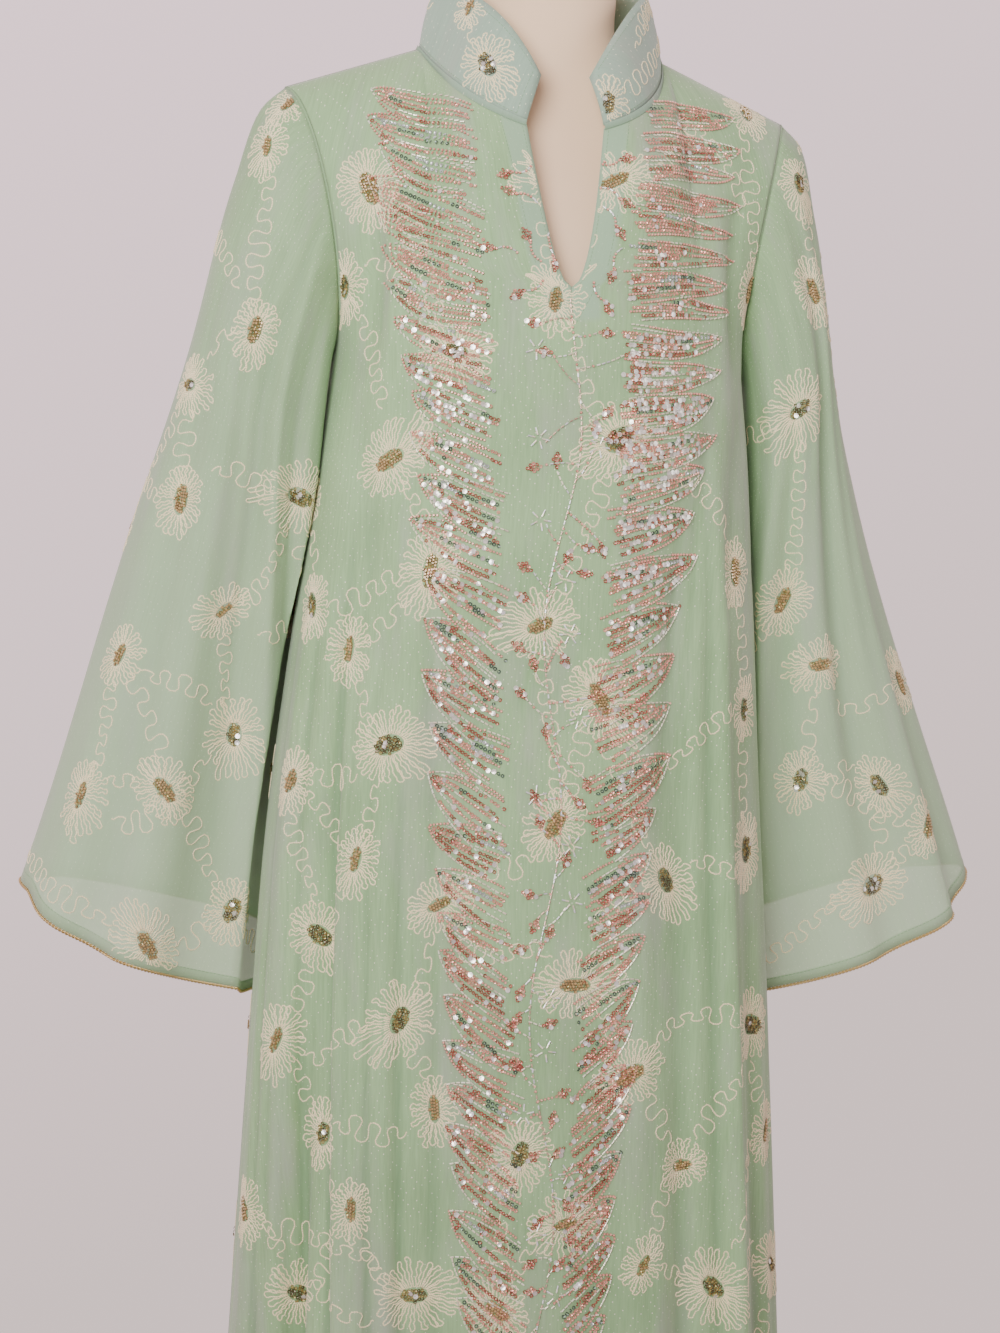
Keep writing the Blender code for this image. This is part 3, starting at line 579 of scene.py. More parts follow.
def sleeve_fold(share, angle, name):
    """Folds that grow to the cuff, and fine creases that fade out at both ends."""
    depth = np.zeros(share.shape)
    for at, start, end, amount, width in SLEEVE_CREASES[name]:
        fade = np.sqrt(np.sin(pi * between(share, start, end)))
        depth += amount * fade * ridge(angle, at, width)
    for at, start, amount, width in SLEEVE_FOLDS[name]:
        depth += amount * between(share, start, 1) ** SLEEVE_GROWTH * ridge(angle, at, width)
    return depth


def flat_of(half):
    """Level direction at a right angle to a sleeve section's half."""
    return unit(np.stack([half[..., 1], -half[..., 0], 0 * half[..., 0]], -1))


def sleeve(share, angle, name):
    """Point of a sleeve's outer face: share 0 armhole to 1 cuff, angle in degrees round it."""
    share, angle = common(share, angle)
    side = 1 if name == "left" else -1
    rows = np.array(SLEEVE_SECTIONS)
    size = table_curve(share, rows[:, 0], rows[:, 1:])
    outer, inner = size[..., 0:3].copy(), size[..., 3:6].copy()
    outer_out, outer_up, inner_up = CUFF_SHIFT[name]
    below = smooth(share / ARMHOLE_FADE)
    spread = SLEEVE_SPREAD * below * (1 - smooth(2 * share - 1))
    outer[..., 0] += outer_out * share**3 - spread * side
    outer[..., 2] += outer_up * share**3
    inner[..., 2] += inner_up * share**3
    middle, half = (outer + inner) / 2, (outer - inner) / 2
    turn = np.radians(angle)
    power = 1 - (1 - SLEEVE_POWER) * below
    across, along = powered(np.cos(turn), power)[..., None], powered(np.sin(turn), power)[..., None]
    fold = sleeve_fold(share, angle, name)
    swell = 1 + fold[..., None] / np.linalg.norm(half, axis=-1, keepdims=True)
    ring = middle + swell * (across * half + along * size[..., 6:7] * flat_of(half))
    ring[..., 2] -= np.where(turn < pi, size[..., 7], size[..., 8]) * np.abs(along[..., 0])
    plain_half = (rows[0, 1:4] - rows[0, 4:7]) / 2
    plain = (rows[0, 1:4] + rows[0, 4:7]) / 2 + np.cos(turn)[..., None] * plain_half
    plain = plain + np.sin(turn)[..., None] * rows[0, 7] * flat_of(plain_half)
    start = armhole(angle, side) * np.array([side, 1, 1])
    fade = (1 - below)[..., None]
    ring = ring + fade * (start - plain)
    low = np.clip((180 - np.abs(angle - 180)) / 180.0, 0, 1)
    ring[..., 0] += fade[..., 0] * (SEAM_GAP + WALL * (0.8 + 0.6 * np.sqrt(low)))
    return keep_off_body(ring, side) * np.array([side, 1, 1])


def collar(around, up):
    """Point of the collar's outer face: around -1 to 1 from corner to corner through the back."""
    around, up = common(around, up)
    back = 1 - np.abs(around)
    front_share, back_share = np.clip(2 * back, 0, 1), np.clip(2 * back - 1, 0, 1)
    base_front = top_edge(NECK_SHARE * front_share, 0, False)
    base_back = top_edge(NECK_SHARE * (1 - back_share), 0, True)
    rim_front = bezier(front_share, COLLAR_CORNER, COLLAR_FRONT_CONTROL, COLLAR_SIDE)
    rim_back = bezier(back_share, COLLAR_SIDE, COLLAR_BACK_CONTROL, COLLAR_BACK)
    in_front = (back < 0.5)[..., None]
    base, rim = np.where(in_front, base_front, base_back), np.where(in_front, rim_front, rim_back)
    point = base + (rim - base) * up[..., None]
    point[..., :2] += unit(point[..., :2]) * (COLLAR_BULGE * 4 * up * (1 - up))[..., None]
    point[..., 2] += COLLAR_LIFT
    point[..., 0] *= np.where(around < 0, -1.0, 1.0)
    return point


# Cloth as grids of points


class Cloth:
    """Points on a cloth's outer face, rows from its lower end up. The front and back are two panels that
    share the centre column: columns count from it, plus to the wearer's left and minus to the right."""

    def __init__(self, name, panels, closed=False, mirror=False):
        self.name = name
        self.panels = panels
        self.closed = closed
        self.mirror = mirror
        self.rows, self.columns = panels[0].shape[:2]
        self.first = -(self.columns - 1) if len(panels) == 2 else 0
        self.index = {}

    def pick(self, grid, row, column):
        if self.closed:
            left = np.floor(column).astype(int)
            c, near, far = column - left, left % self.columns, (left + 1) % self.columns
        else:
            column = np.clip(column, 0, self.columns - 1.000001)
            near = column.astype(int)
            c, far = column - near, near + 1
        low = row.astype(int)
        r, c = (row - low)[..., None], c[..., None]
        under = grid[low, near] * (1 - c) + grid[low, far] * c
        over = grid[low + 1, near] * (1 - c) + grid[low + 1, far] * c
        return under * (1 - r) + over * r

    def at(self, row, column):
        row = np.clip(np.asarray(row, float), 0, self.rows - 1.000001)
        column = np.asarray(column, float)
        if len(self.panels) == 1:
            return self.pick(self.panels[0], row, column)
        left, right = (self.pick(grid, row, np.abs(column)) for grid in self.panels)
        return np.where((column < 0)[..., None], right, left)

    def axes(self, row, column):
        """Changes of place for one column and for one row, then the directions out, up and right."""
        row, column = common(row, column)
        row = np.clip(row, 0.5, self.rows - 1.5)
        if not self.closed:
            column = np.clip(column, self.first + 0.5, self.columns - 1.5)
        across = self.at(row, column + 0.5) - self.at(row, column - 0.5)
        rise = self.at(row + 0.5, column) - self.at(row - 0.5, column)
        out = unit(np.cross(across, rise)) * (-1.0 if self.mirror else 1.0)
        high = unit(rise)
        return across, rise, out, high, np.cross(high, out)

    def normal(self, row, column):
        return self.axes(row, column)[2]

    def move(self, row, column, right, up, steps=2):
        """Row and column after moving over the cloth by metres to the right, seen from outside, and up."""
        row, column, right, up = common(row, column, right, up)
        for _ in range(steps):
            across, rise, _, high, side = self.axes(row, column)
            way = (side * right[..., None] + high * up[..., None]) / steps
            cc, cr, rr = (across * across).sum(-1), (across * rise).sum(-1), (rise * rise).sum(-1)
            wc, wr = (way * across).sum(-1), (way * rise).sum(-1)
            whole = cc * rr - cr * cr
            column = column + (wc * rr - wr * cr) / whole
            row = row + (wr * cc - wc * cr) / whole
        return row, column

    def inside(self, row, column):
        """Where a place lies on the cloth, clear of its edges and of the slit."""
        on = (row > EDGE_CLEAR) & (row < self.rows - 1 - EDGE_CLEAR)
        if self.name == "front":
            on &= (row < SLIT_ROW - SLIT_CLEAR[0]) | (np.abs(column) > SLIT_CLEAR[1])
        if self.closed:
            return on
        return on & (column > self.first + EDGE_CLEAR) & (column < self.columns - 1 - EDGE_CLEAR)

    def find(self, x, z, behind=False):
        """Row and column of the points at x, z seen square on from the front, or from behind."""
        if behind not in self.index:
            self.index[behind] = self.make_index(behind)
        tree, places = self.index[behind]
        x, z = common(x, z)
        near = [tree.find((a, 0.0, b))[1] for a, b in zip(x.ravel(), z.ravel())]
        row, column = np.moveaxis(places[near].reshape(x.shape + (2,)), -1, 0)
        for _ in range(2):
            here = self.at(row, column)
            across, up = self.axes(row, column)[:2]
            dx, dz = x - here[..., 0], z - here[..., 2]
            whole = across[..., 0] * up[..., 2] - across[..., 2] * up[..., 0]
            whole = np.where(np.abs(whole) < EDGE_ON, EDGE_ON, whole)
            column = column + np.clip((dx * up[..., 2] - dz * up[..., 0]) / whole, -1, 1)
            row = row + np.clip((across[..., 0] * dz - across[..., 2] * dx) / whole, -1, 1)
        return row, column

    def make_index(self, behind):
        """A search tree over the grid points that face the front or the back."""
        rows, columns = np.meshgrid(np.arange(self.rows), np.arange(self.first, self.columns), indexing="ij")
        rows, columns = rows.ravel().astype(float), columns.ravel().astype(float)
        points, facing_back = self.at(rows, columns), self.normal(rows, columns)[:, 1]
        keep = facing_back > 0.05 if behind else facing_back < -0.05
        tree = KDTree(int(keep.sum()))
        for i, point in enumerate(points[keep]):
            tree.insert((point[0], 0.0, point[2]), i)
        tree.balance()
        return tree, np.stack([rows[keep], columns[keep]], -1)


def even_columns(grid, columns):
    """Each row resampled to the same count of evenly spaced columns."""
    rows = []
    for line in grid:
        along = lengths(line)
        rows.append(along_line(np.linspace(0, along[-1], columns + 1), along, line))
    return np.stack(rows)


def line_creases(points, creases):
    """Depth of creases given as bowed lines, seen square on."""
    depth = np.zeros(points.shape[:-1])
    for x0, z0, x1, z1, bow, amount, width in creases:
        way = np.array([x1 - x0, z1 - z0])
        length = np.linalg.norm(way)
        way /= length
        x, z = points[..., 0] - x0, points[..., 2] - z0
        along = np.clip((x * way[0] + z * way[1]) / length, 0, 1)
        off_x = x - way[0] * along * length - bow * 4 * along * (1 - along)
        off_z = z - way[1] * along * length
        away = np.hypot(off_x, off_z)
        depth += amount * np.sin(pi * along) ** 0.7 * np.exp(-((away / width) ** 2))
    return depth


def body_panel(side, behind):
    """One half of the front or back, with its creases, on the outer face of the shell."""
    ups = np.concatenate([np.linspace(0, 1, BODY_LOWER_ROWS + 1), np.linspace(1, 2, BODY_TOP_ROWS + 1)[1:]])
    shares = np.linspace(0, 1, 3 * BODY_COLUMNS + 1)
    grid = panel(shares[None, :], ups[:, None], side, behind)
    grid[..., 1] += SEAM_GAP / 2 * (1 if behind else -1)
    out = unit(np.cross(np.gradient(grid, axis=1), np.gradient(grid, axis=0))) * side * (-1 if behind else 1)
    angle = (180.0 - 90.0 * shares if behind else 90.0 * shares) * side
    depth = fold_depth(angle[None, :], grid[..., 2], SKIRT_CREASES) * (ups[:, None] <= 1)
    depth = depth + line_creases(grid, BACK_CREASES if behind else FRONT_CREASES)
    depth *= smooth((1 - shares) * 12)[None, :] * smooth((2 - ups) * 10)[:, None]
    return even_columns(grid + out * (OUTER_FACE + depth)[..., None], BODY_COLUMNS)


def body_cloth(name):
    behind = name == "back"
    return Cloth(name, [body_panel(1, behind), body_panel(-1, behind)], mirror=behind)


def sleeve_cloth(name):
    shares = np.linspace(1, 0, SLEEVE_ROWS + 1)
    angles = np.arange(3 * SLEEVE_COLUMNS + 1) * 120.0 / SLEEVE_COLUMNS
    grid = even_columns(sleeve(shares[:, None], angles[None, :] % 360.0, name), SLEEVE_COLUMNS)
    return Cloth("sleeve_" + name, [grid[:, :-1]], closed=True, mirror=name == "left")


def collar_cloth():
    around = np.linspace(-1, 1, 2 * COLLAR_COLUMNS + 1)
    ups = np.linspace(0, 1, COLLAR_ROWS + 1)
    grid = even_columns(collar(around[None, :], ups[:, None]), COLLAR_COLUMNS)
    return Cloth("collar", [grid], mirror=True)


# Meshes


def make_object(name, points, faces, finish, smooth_faces=True):
    mesh = bpy.data.meshes.new(name)
    mesh.from_pydata(np.asarray(points, float).tolist(), [], faces)
    mesh.validate()
    if smooth_faces:
        mesh.shade_smooth()
    mesh.materials.append(finish)
    piece = bpy.data.objects.new(name, mesh)
    bpy.context.scene.collection.objects.link(piece)
    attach(piece, "root")
    return piece


def set_uv(piece, values):
    """UVs from one pair of values for each point."""
    layer = piece.data.uv_layers.new(name="cloth")
    vertex_of = np.empty(len(piece.data.loops), int)
    piece.data.loops.foreach_get("vertex_index", vertex_of)
    layer.data.foreach_set("uv", np.asarray(values)[vertex_of].ravel())


def grid_faces(rows, columns, closed=(False, False), order=(0, 1, 2, 3)):
    """Quads of a grid of points that may close along its rows or columns. order is that of each quad's
    corners, which also says along which diagonal it is split."""
    spans = (np.arange(size if shut else size - 1) for size, shut in zip((rows, columns), closed))
    r, c = (index.ravel() for index in np.meshgrid(*spans, indexing="ij"))
    over, beside = (r + 1) % rows, (c + 1) % columns
    corners = (r * columns + c, r * columns + beside, over * columns + beside, over * columns + c)
    return np.stack([corners[k] for k in order], 1)


def shell_mesh(cloth, name, finish, thickness, mask=None):
    """The cloth as one mesh with its thickness inward, and UVs in metres of cloth."""
    points, faces, uvs, backed = [], [], [], []
    for sign, grid in zip((1, -1), cloth.panels):
        rows, columns = grid.shape[:2]
        turned_over = (sign < 0) ^ cloth.mirror
        order = (3, 2, 1, 0) if turned_over else (0, 1, 2, 3)
        quads = grid_faces(rows, columns, (False, cloth.closed), order)
        faces += (quads + len(points)).tolist()
        points += grid.reshape(-1, 3).tolist()
        step = np.linalg.norm(grid[:, 1] - grid[:, 0], axis=-1)
        u = sign * step[:, None] * np.arange(columns)[None, :]
        v = lengths(grid[:, 0])[:, None] + 0 * u
        uvs.append(np.stack([u, v], -1).reshape(-1, 2))
        if mask is not None:
            backed.append(mask(grid, np.abs(u)).ravel())
    piece = make_object(name, points, faces, finish)
    set_uv(piece, np.concatenate(uvs))
    if mask is not None:
        layer = piece.data.attributes.new("backed", "FLOAT", "POINT")
        layer.data.foreach_set("value", np.concatenate(backed).astype(np.float32))
    work = bmesh.new()
    work.from_mesh(piece.data)
    bmesh.ops.remove_doubles(work, verts=work.verts, dist=1e-5)
    work.to_mesh(piece.data)
    work.free()
    wall = piece.modifiers.new("Wall", "SOLIDIFY")
    wall.thickness = thickness
    wall.offset = -1.0
    wall.use_even_offset = False
    return piece


class Batch:
    """Many small shapes gathered for one joined mesh."""

    def __init__(self):
        self.points, self.faces, self.uvs, self.tints = [], [], [], []
        self.count = 0

    def add(self, points, faces, uvs=None, tints=None):
        points = np.asarray(points, float).reshape(-1, 3)
        self.points.append(points)
        self.faces += [[self.count + corner for corner in face] for face in faces]
        self.uvs.append(np.zeros((len(points), 2)) if uvs is None else uvs.reshape(-1, 2))
        self.tints.append(np.ones((len(points), 4)) if tints is None else tints.reshape(-1, 4))
        self.count += len(points)

    def build(self, name, finish, coloured=False):
        """The mesh. A coloured one is of beads, which have flat faces and a tint each."""
        piece = make_object(name, np.concatenate(self.points), self.faces, finish, not coloured)
        set_uv(piece, np.concatenate(self.uvs))
        if coloured:
            layer = piece.data.color_attributes.new("tint", "FLOAT_COLOR", "POINT")
            layer.data.foreach_set("color", np.concatenate(self.tints).astype(np.float32).ravel())
        return piece


def add_ribbon(batch, points, normals, half_width=CORD_HALF_WIDTH, height=CORD_HEIGHT, closed=False):
    """A low half-round cord along points that lie on a cloth."""
    ahead = np.roll(points, -1, 0) - np.roll(points, 1, 0) if closed else np.gradient(points, axis=0)
    side = unit(np.cross(normals, ahead)) * half_width
    rows = np.stack([points - side, points + normals * height, points + side], 1)
    uv = np.stack(np.broadcast_arrays(lengths(points)[:, None], [-1.0, 0.0, 1.0]), -1)
    batch.add(rows, grid_faces(len(points), 3, (closed, False), (1, 2, 3, 0)).tolist(), uv)


def lay_cord(batch, cloth, row, column):
    """A cord over a cloth, cut where it runs off the cloth's edge."""
    on = cloth.inside(row, column)
    points, normals = cloth.at(row, column), cloth.normal(row, column)
    step = np.linalg.norm(np.diff(points, axis=0), axis=1)
    leap = (step > CORD_LEAP) | ~(on[1:] & on[:-1])
    for part in np.split(np.arange(len(points)), np.flatnonzero(leap) + 1):
        part = part[on[part]]
        if len(part) > 2:
            add_ribbon(batch, points[part], normals[part])


# Embroidery


def flower_cord(radius, toward, stretch, petals, oval, rng):
    """One cord that runs out and back for each petal: right and up offsets in metres. Each petal starts at
    the middle's oval and ends on a larger one."""
    spots = []
    turn = radians(toward)
    long_way, short_way, oval_turn = oval
    for k in range(petals):
        round_by = tau * (k + 0.5) / petals + rng.uniform(-0.06, 0.06)
        lean = cos(round_by + oval_turn - turn)
        length = (radius - 0.5 * (long_way + short_way)) * rng.uniform(0.80, 1.06)
        length *= 1 + stretch * max(0.0, lean) ** 3
        start, end = (
            np.array([(long_way + more) * cos(round_by), (short_way + more) * sin(round_by)])
            for more in (PETAL_START, length)
        )
        reach = np.linalg.norm(end - start)
        angle = np.arctan2(end[1] - start[1], end[0] - start[0]) + oval_turn
        base = turned(*start, oval_turn)
        sweep = 0.40 * stretch * sin(turn - angle) * max(0.0, lean + 0.4) + rng.uniform(-0.09, 0.09)
        tip = PETAL_TIP * rng.uniform(0.75, 1.20)
        wave, phase = rng.uniform(0.0004, 0.0010), rng.uniform(0, tau)
        turns = rng.uniform(15, 22)
        for s, edge in petal_steps(tip, reach):
            side = edge + wave * min(1.0, 4 * s) * sin(phase + turns * s + (1.2 if edge > 0 else 0.0))
            spots.append(np.add(base, turned(reach * s, side, angle + sweep * s * s)))
    return np.transpose(spots)


def petal_steps(tip, length):
    """Share of the length and sideways place along one petal's loop."""
    shoulder = 1 - tip / length
    outward = [(s * shoulder, -PETAL_BASE - (tip - PETAL_BASE) * s**0.8) for s in PETAL_SHARES]
    outward += [(shoulder + 0.72 * (1 - shoulder), -0.70 * tip)]
    return outward + [(1.0, 0.0)] + [(s, -edge) for s, edge in reversed(outward)]


def add_flower(cords, beads, cloth, row, column, flower, rng):
    """A corded flower with its filled middle."""
    radius, toward, stretch, filling = flower
    radius = FLOWER_SIZE * radius / 1000.0
    long_way, slimmest, fullest = MIDDLES[filling]
    long_way = long_way * radius / 0.032 * rng.uniform(0.85, 1.2)
    short_way = long_way * rng.uniform(slimmest, fullest)
    oval = (long_way, short_way, radians(toward + rng.uniform(-30, 30)))
    petals = int(round(pi * (long_way + short_way + 1.2 * radius) / PETAL_PITCH))
    right, up = flower_cord(radius, toward, stretch, petals, oval, rng)
    lay_cord(cords, cloth, *cloth.move(row, column, right, up))
    fill_middle(beads, cloth, row, column, oval, filling, rng)


def fill_middle(beads, cloth, row, column, oval, filling, rng):
    """Thread or sequins that fill the oval, row by row."""
    long_way, short_way, turn = oval
    kinds = FILLINGS[filling]
    pitch = BEADS[kinds[0]][2]
    spots = []
    for n, b in enumerate(np.arange(-short_way, short_way + 1e-6, pitch * 0.88)):
        reach = long_way * np.sqrt(max(0.0, 1 - (b / short_way) ** 2))
        spots += [turned(a, b, turn) for a in np.arange(-reach + (n % 2) * pitch / 2, reach + 1e-6, pitch)]
    names = [kinds[int(rng.integers(len(kinds)))] for _ in spots]
    if filling == "gold":
        # A few white foil discs among the gold sequins, as painted glints
        names = ["mirror" if rng.random() < 0.05 else n for n in names]
    place_beads(beads, cloth, cloth.move(row, column, *np.transpose(spots)), turn, names, rng)


def vine_cord(cloth, rows, columns, rng):
    """A cord that meanders along a path over the cloth, or None where the path is too short."""
    along = lengths(cloth.at(rows, columns))
    length = along[-1]
    if length < 0.02:
        return None
    waves = max(1, round(length / VINE_WAVE))
    s = np.linspace(0, length, max(12, int(waves * 13)))
    row, column = np.interp(s, along, rows), np.interp(s, along, columns)
    _, _, _, high, side = cloth.axes(row, column)
    ahead = unit(np.gradient(cloth.at(row, column), axis=0))
    way_right, way_up = (ahead * side).sum(-1), (ahead * high).sum(-1)
    phase = tau * s / length * waves + 0.9 * np.sin(s / 0.026 + rng.uniform(0, tau))
    ends = np.minimum(1, np.minimum(s, length - s) / (0.6 * VINE_WAVE))
    slow, fast = rng.uniform(0, tau), rng.uniform(0, tau)
    size = 1 + 0.30 * np.sin(s / 0.021 + slow) + 0.22 * np.sin(s / 0.009 + fast)
    swing = VINE_SWING * size * ends * np.sin(phase)
    curl = -VINE_CURL * ends * np.sin(2 * phase)
    right, up = way_right * curl - way_up * swing, way_up * curl + way_right * swing
    return cloth.move(row, column, right, up, steps=1)


def spread_flowers(cloth, rng):
    """Row, column and make of each flower on a cloth: the placed ones first, then a lattice where there
    is room, so that hidden sides are as full as the front."""
    placed = []
    for x, z, radius, toward, stretch, golden in FLOWERS[cloth.name]:
        row, column = cloth.find([x / 1000], [z / 1000], cloth.name == "back")
        placed.append((row[0], column[0], (radius, toward, stretch / 100, "gold" if golden else "thread")))
    step = np.linalg.norm(cloth.axes([cloth.rows / 3], [3.0])[1])
    wide, tall = LATTICE_STEP
    for n, r in enumerate(np.arange(4.0, cloth.rows - 4, tall / step)):
        across = np.linalg.norm(cloth.axes([r], [5.0])[0])
        for c in np.arange(cloth.first + (n % 2) * wide / across / 2 + 3, cloth.columns - 3, wide / across):
            row = r + rng.uniform(-0.014, 0.014) / step
            column = c + rng.uniform(-0.016, 0.016) / across
            flower = (rng.uniform(26, 35), rng.uniform(180, 360), rng.uniform(0.15, 0.5))
            filling = "gold" if rng.random() < 0.45 else "thread"
            rows, columns, _ = zip(*placed)
            apart = cloth.at(rows, columns) - cloth.at([row], [column])
            if np.linalg.norm(apart, axis=1).min() > LATTICE_CLEAR:
                placed.append((row, column, (*flower, filling)))
    return placed


def join_flowers(cords, cloth, placed, rng):
    """Meandering vines from each flower to near ones, at most three on a flower."""
    row, column, flowers = zip(*placed)
    spots = cloth.at(row, column)
    used = np.zeros(len(placed), int)
    for i in range(len(placed)):
        apart = np.linalg.norm(spots - spots[i], axis=1)
        for j in np.argsort(apart)[1:7]:
            if j <= i or used[i] > 2 or used[j] > 2 or apart[j] > VINE_REACH or rng.random() < 0.2:
                continue
            rise, gap = row[j] - row[i], column[j] - column[i]
            if cloth.closed:
                gap = (gap + cloth.columns / 2) % cloth.columns - cloth.columns / 2
            used[[i, j]] += 1
            first, last = 0.7 * flowers[i][0] / 1000 / apart[j], 1 - 0.7 * flowers[j][0] / 1000 / apart[j]
            t = first + (last - first) * np.linspace(0, 1, 24)
            bow = rng.uniform(-0.26, 0.26) * 4 * t * (1 - t) + rng.uniform(-0.12, 0.12) * np.sin(tau * t)
            rows, columns = row[i] + rise * t + bow * gap * 0.5, column[i] + gap * t - bow * rise * 0.5
            path = vine_cord(cloth, rows, columns, rng)
            if path is not None:
                lay_cord(cords, cloth, *path)


def circle(sides, radius=1.0, height=0.0):
    turn = np.arange(sides) * tau / sides
    return np.stack([radius * np.cos(turn), radius * np.sin(turn), 0 * turn + height], -1)


def cup(sides, rim_height, radius, height, painted_shades, capped=False):
    """A rim of radius 1 joined to a smaller circle, which is filled if capped, and each circle's painted
    shade: darker at the rim, lighter at the inner circle.
    """
    faces = grid_faces(2, sides, (False, True)).tolist() + capped * [list(range(sides, 2 * sides))]
    points = np.concatenate([circle(sides, 1.0, rim_height), circle(sides, radius, height)])
    return points, faces, np.repeat(painted_shades, sides)


def disc(sides):
    """A flat foil sequin."""
    faces = [[k, (k + 1) % sides, sides] for k in range(sides)]
    return np.concatenate([circle(sides, 1.0, 0.2), [[0, 0, 0.1]]]), faces, np.ones(sides + 1)


def tube(radius):
    """Half of a short tube, 1 long each way, for bugle beads, with painted shade along its two sides."""
    turn = np.linspace(-0.2, pi + 0.2, 5)
    rim = np.stack([0 * turn, radius * np.cos(turn), radius * np.sin(turn)], -1)
    faces = [[k, k + 5, k + 6, k + 1] for k in range(4)]
    return np.concatenate([rim - [1, 0, 0], rim + [1, 0, 0]]), faces, np.tile([0.7, 1.0, 1.0, 1.0, 0.7], 2)


# Bead shapes of size 1: a cupped sequin with a wide hole, a foil sequin, a low dome and a bugle. Each comes
# with painted light and shade: a darker rim and a lighter inner edge on the sequin, as light reflected in
# its cup, a lit top on the dome and darker sides on the bugle
SHAPES = {
    "ring": cup(7, 0.25, 0.42, -0.05, (0.80, 1.25)),
    "disc": disc(8),
    "drop": cup(6, -0.3, 0.55, 0.55, (0.5, 1.1), capped=True),
    "tube": tube(0.44),
}


def stamp(batch, shape, centres, ahead, out, sizes, tints):
    """Copies a shape to many places at once."""
    points, faces, painted_shades = SHAPES[shape]
    axes = np.stack([ahead, np.cross(out, ahead), out], 1)
    moved = centres[:, None] + sizes[:, None, None] * (points @ axes)
    # Painted shade and highlight of the shape, multiplied into each bead's tint
    tints = np.clip(tints[:, None] * painted_shades[:, None], 0, 1)
    foil = np.full((*tints.shape[:2], 1), FOIL[shape])
    starts = range(0, len(points) * len(centres), len(points))
    faces = [[start + corner for corner in face] for start in starts for face in faces]
    batch.add(moved, faces, tints=np.concatenate([tints, foil], -1))


def place_beads(batch, cloth, places, headings, names, rng):
    """Sequins, seed beads or bugles at rows and columns. headings are directions over the cloth."""
    on = cloth.inside(*places)
    if not on.any():
        return
    rows, columns = (values[on] for values in places)
    turn, names = np.broadcast_to(headings, on.shape)[on][:, None], np.array(names)[on]
    _, _, out, high, side = cloth.axes(rows, columns)
    ahead = np.cos(turn) * side + np.sin(turn) * high
    centres = cloth.at(rows, columns) + out * BEAD_LIFT
    lean = rng.normal(0, BEAD_TILT, (len(names), 2))
    lean[names == "mirror"] *= FOIL_TILT
    shapes, sizes, _, _, tints = (np.array(values) for values in zip(*(BEADS[name] for name in names)))
    tints = tints * rng.uniform(0.70, 1.18, (len(names), 1))
    sizes = sizes * rng.uniform(0.94, 1.06, len(names))
    for shape in SHAPES:
        at = shapes == shape
        tipped = unit(out + lean[:, 0:1] * side + lean[:, 1:2] * high) if shape in ("ring", "disc") else out
        stamp(batch, shape, centres[at], square_to(ahead, tipped)[at], tipped[at], sizes[at], tints[at])


def glint_share(z):
    """How many of the sequins in a leaf are bright foil ones, placed as painted glints: most of them at the
    bust, where the light glints.
    """
    return np.interp(z, *GLINTS)


def leaf_rows(side, tip_z, rng):
    """Rows of one leaf from top to bottom, each a line of x, z from the inner end to the tip. The top row
    arches and falls a little, and the bottom row drops steeply from the tip before it sweeps in."""
    table = np.array(LEAF_BANDS[side])[::-1]
    _, tall, inner, outer, drop = table_curve(tip_z, table[:, 0], table[:, 1:])
    outer *= rng.uniform(0.95, 1.05)
    drop += rng.uniform(-0.009, 0.006)
    arch = rng.uniform(0.001, 0.007)
    blunt = np.interp(tip_z, [1.05, 1.25], [0.0, 1.0])
    straight, belly = 0.55 + 0.20 * blunt, 0.90 - 0.04 * blunt
    wave = rng.uniform(0.0, tau)
    cut_off = np.interp(tip_z, [1.0, 1.25], [0.25, 0.05])
    middle, length = sway(tip_z), outer - inner
    count = max(6, int(round(tall / LEAF_ROW_GAP)) + 1)
    rows = []
    for w in np.arange(count) / (count - 1):
        start_x = inner + rng.uniform(-0.008, 0.005) + cut_off * length * w * w
        bend_x = inner + length * (straight + (belly - straight) * w)
        bend_z = tip_z + (1 - w) * (arch + LEAF_SHOULDER * blunt) - w * (0.52 + 0.32 * blunt) * (drop + tall)
        start, bend = (middle + side * start_x, tip_z - drop - tall * w), (middle + side * bend_x, bend_z)
        t = np.linspace(rng.uniform(0, 0.02), 1.0, 60)
        row = bezier(t, start, bend, (middle + side * outer, tip_z))
        row[:, 1] += LEAF_SWING * blunt * np.sin(wave + 6.0 * t) * (1 - t)
        rows.append(row)
    return rows


def walk_row(line, mix, z, glints, rng):
    """Beads along a line in runs of one kind: places, directions and names. Dark and copper sequins are
    rarer on the chest."""
    along = lengths(line)
    kinds, shares = zip(*mix)
    dark = np.interp(z, [1.15, 1.32], [1.0, 0.45])
    shares = np.array(shares) * [dark if kind in ("dark", "copper") else 1.0 for kind in kinds]
    shares = shares / shares.sum()
    s, at, names = 0.0005, [], []
    while s < along[-1]:
        kind = kinds[int(rng.choice(len(kinds), p=shares))]
        shape, _, pitch, run, _ = BEADS[kind]
        for _ in range(1 + int(run * rng.uniform(0.5, 1.4))):
            # Some sequins become white foil discs, as painted glints
            names.append("mirror" if shape == "ring" and rng.random() < glints else kind)
            at.append(s)
            s += pitch * rng.uniform(0.94, 1.06)
            if s >= along[-1]:
                break
    at = np.array(at)
    step, rise = (along_line(at + HEADING_STEP, along, line) - along_line(at - HEADING_STEP, along, line)).T
    return along_line(at, along, line), np.arctan2(rise, step), names


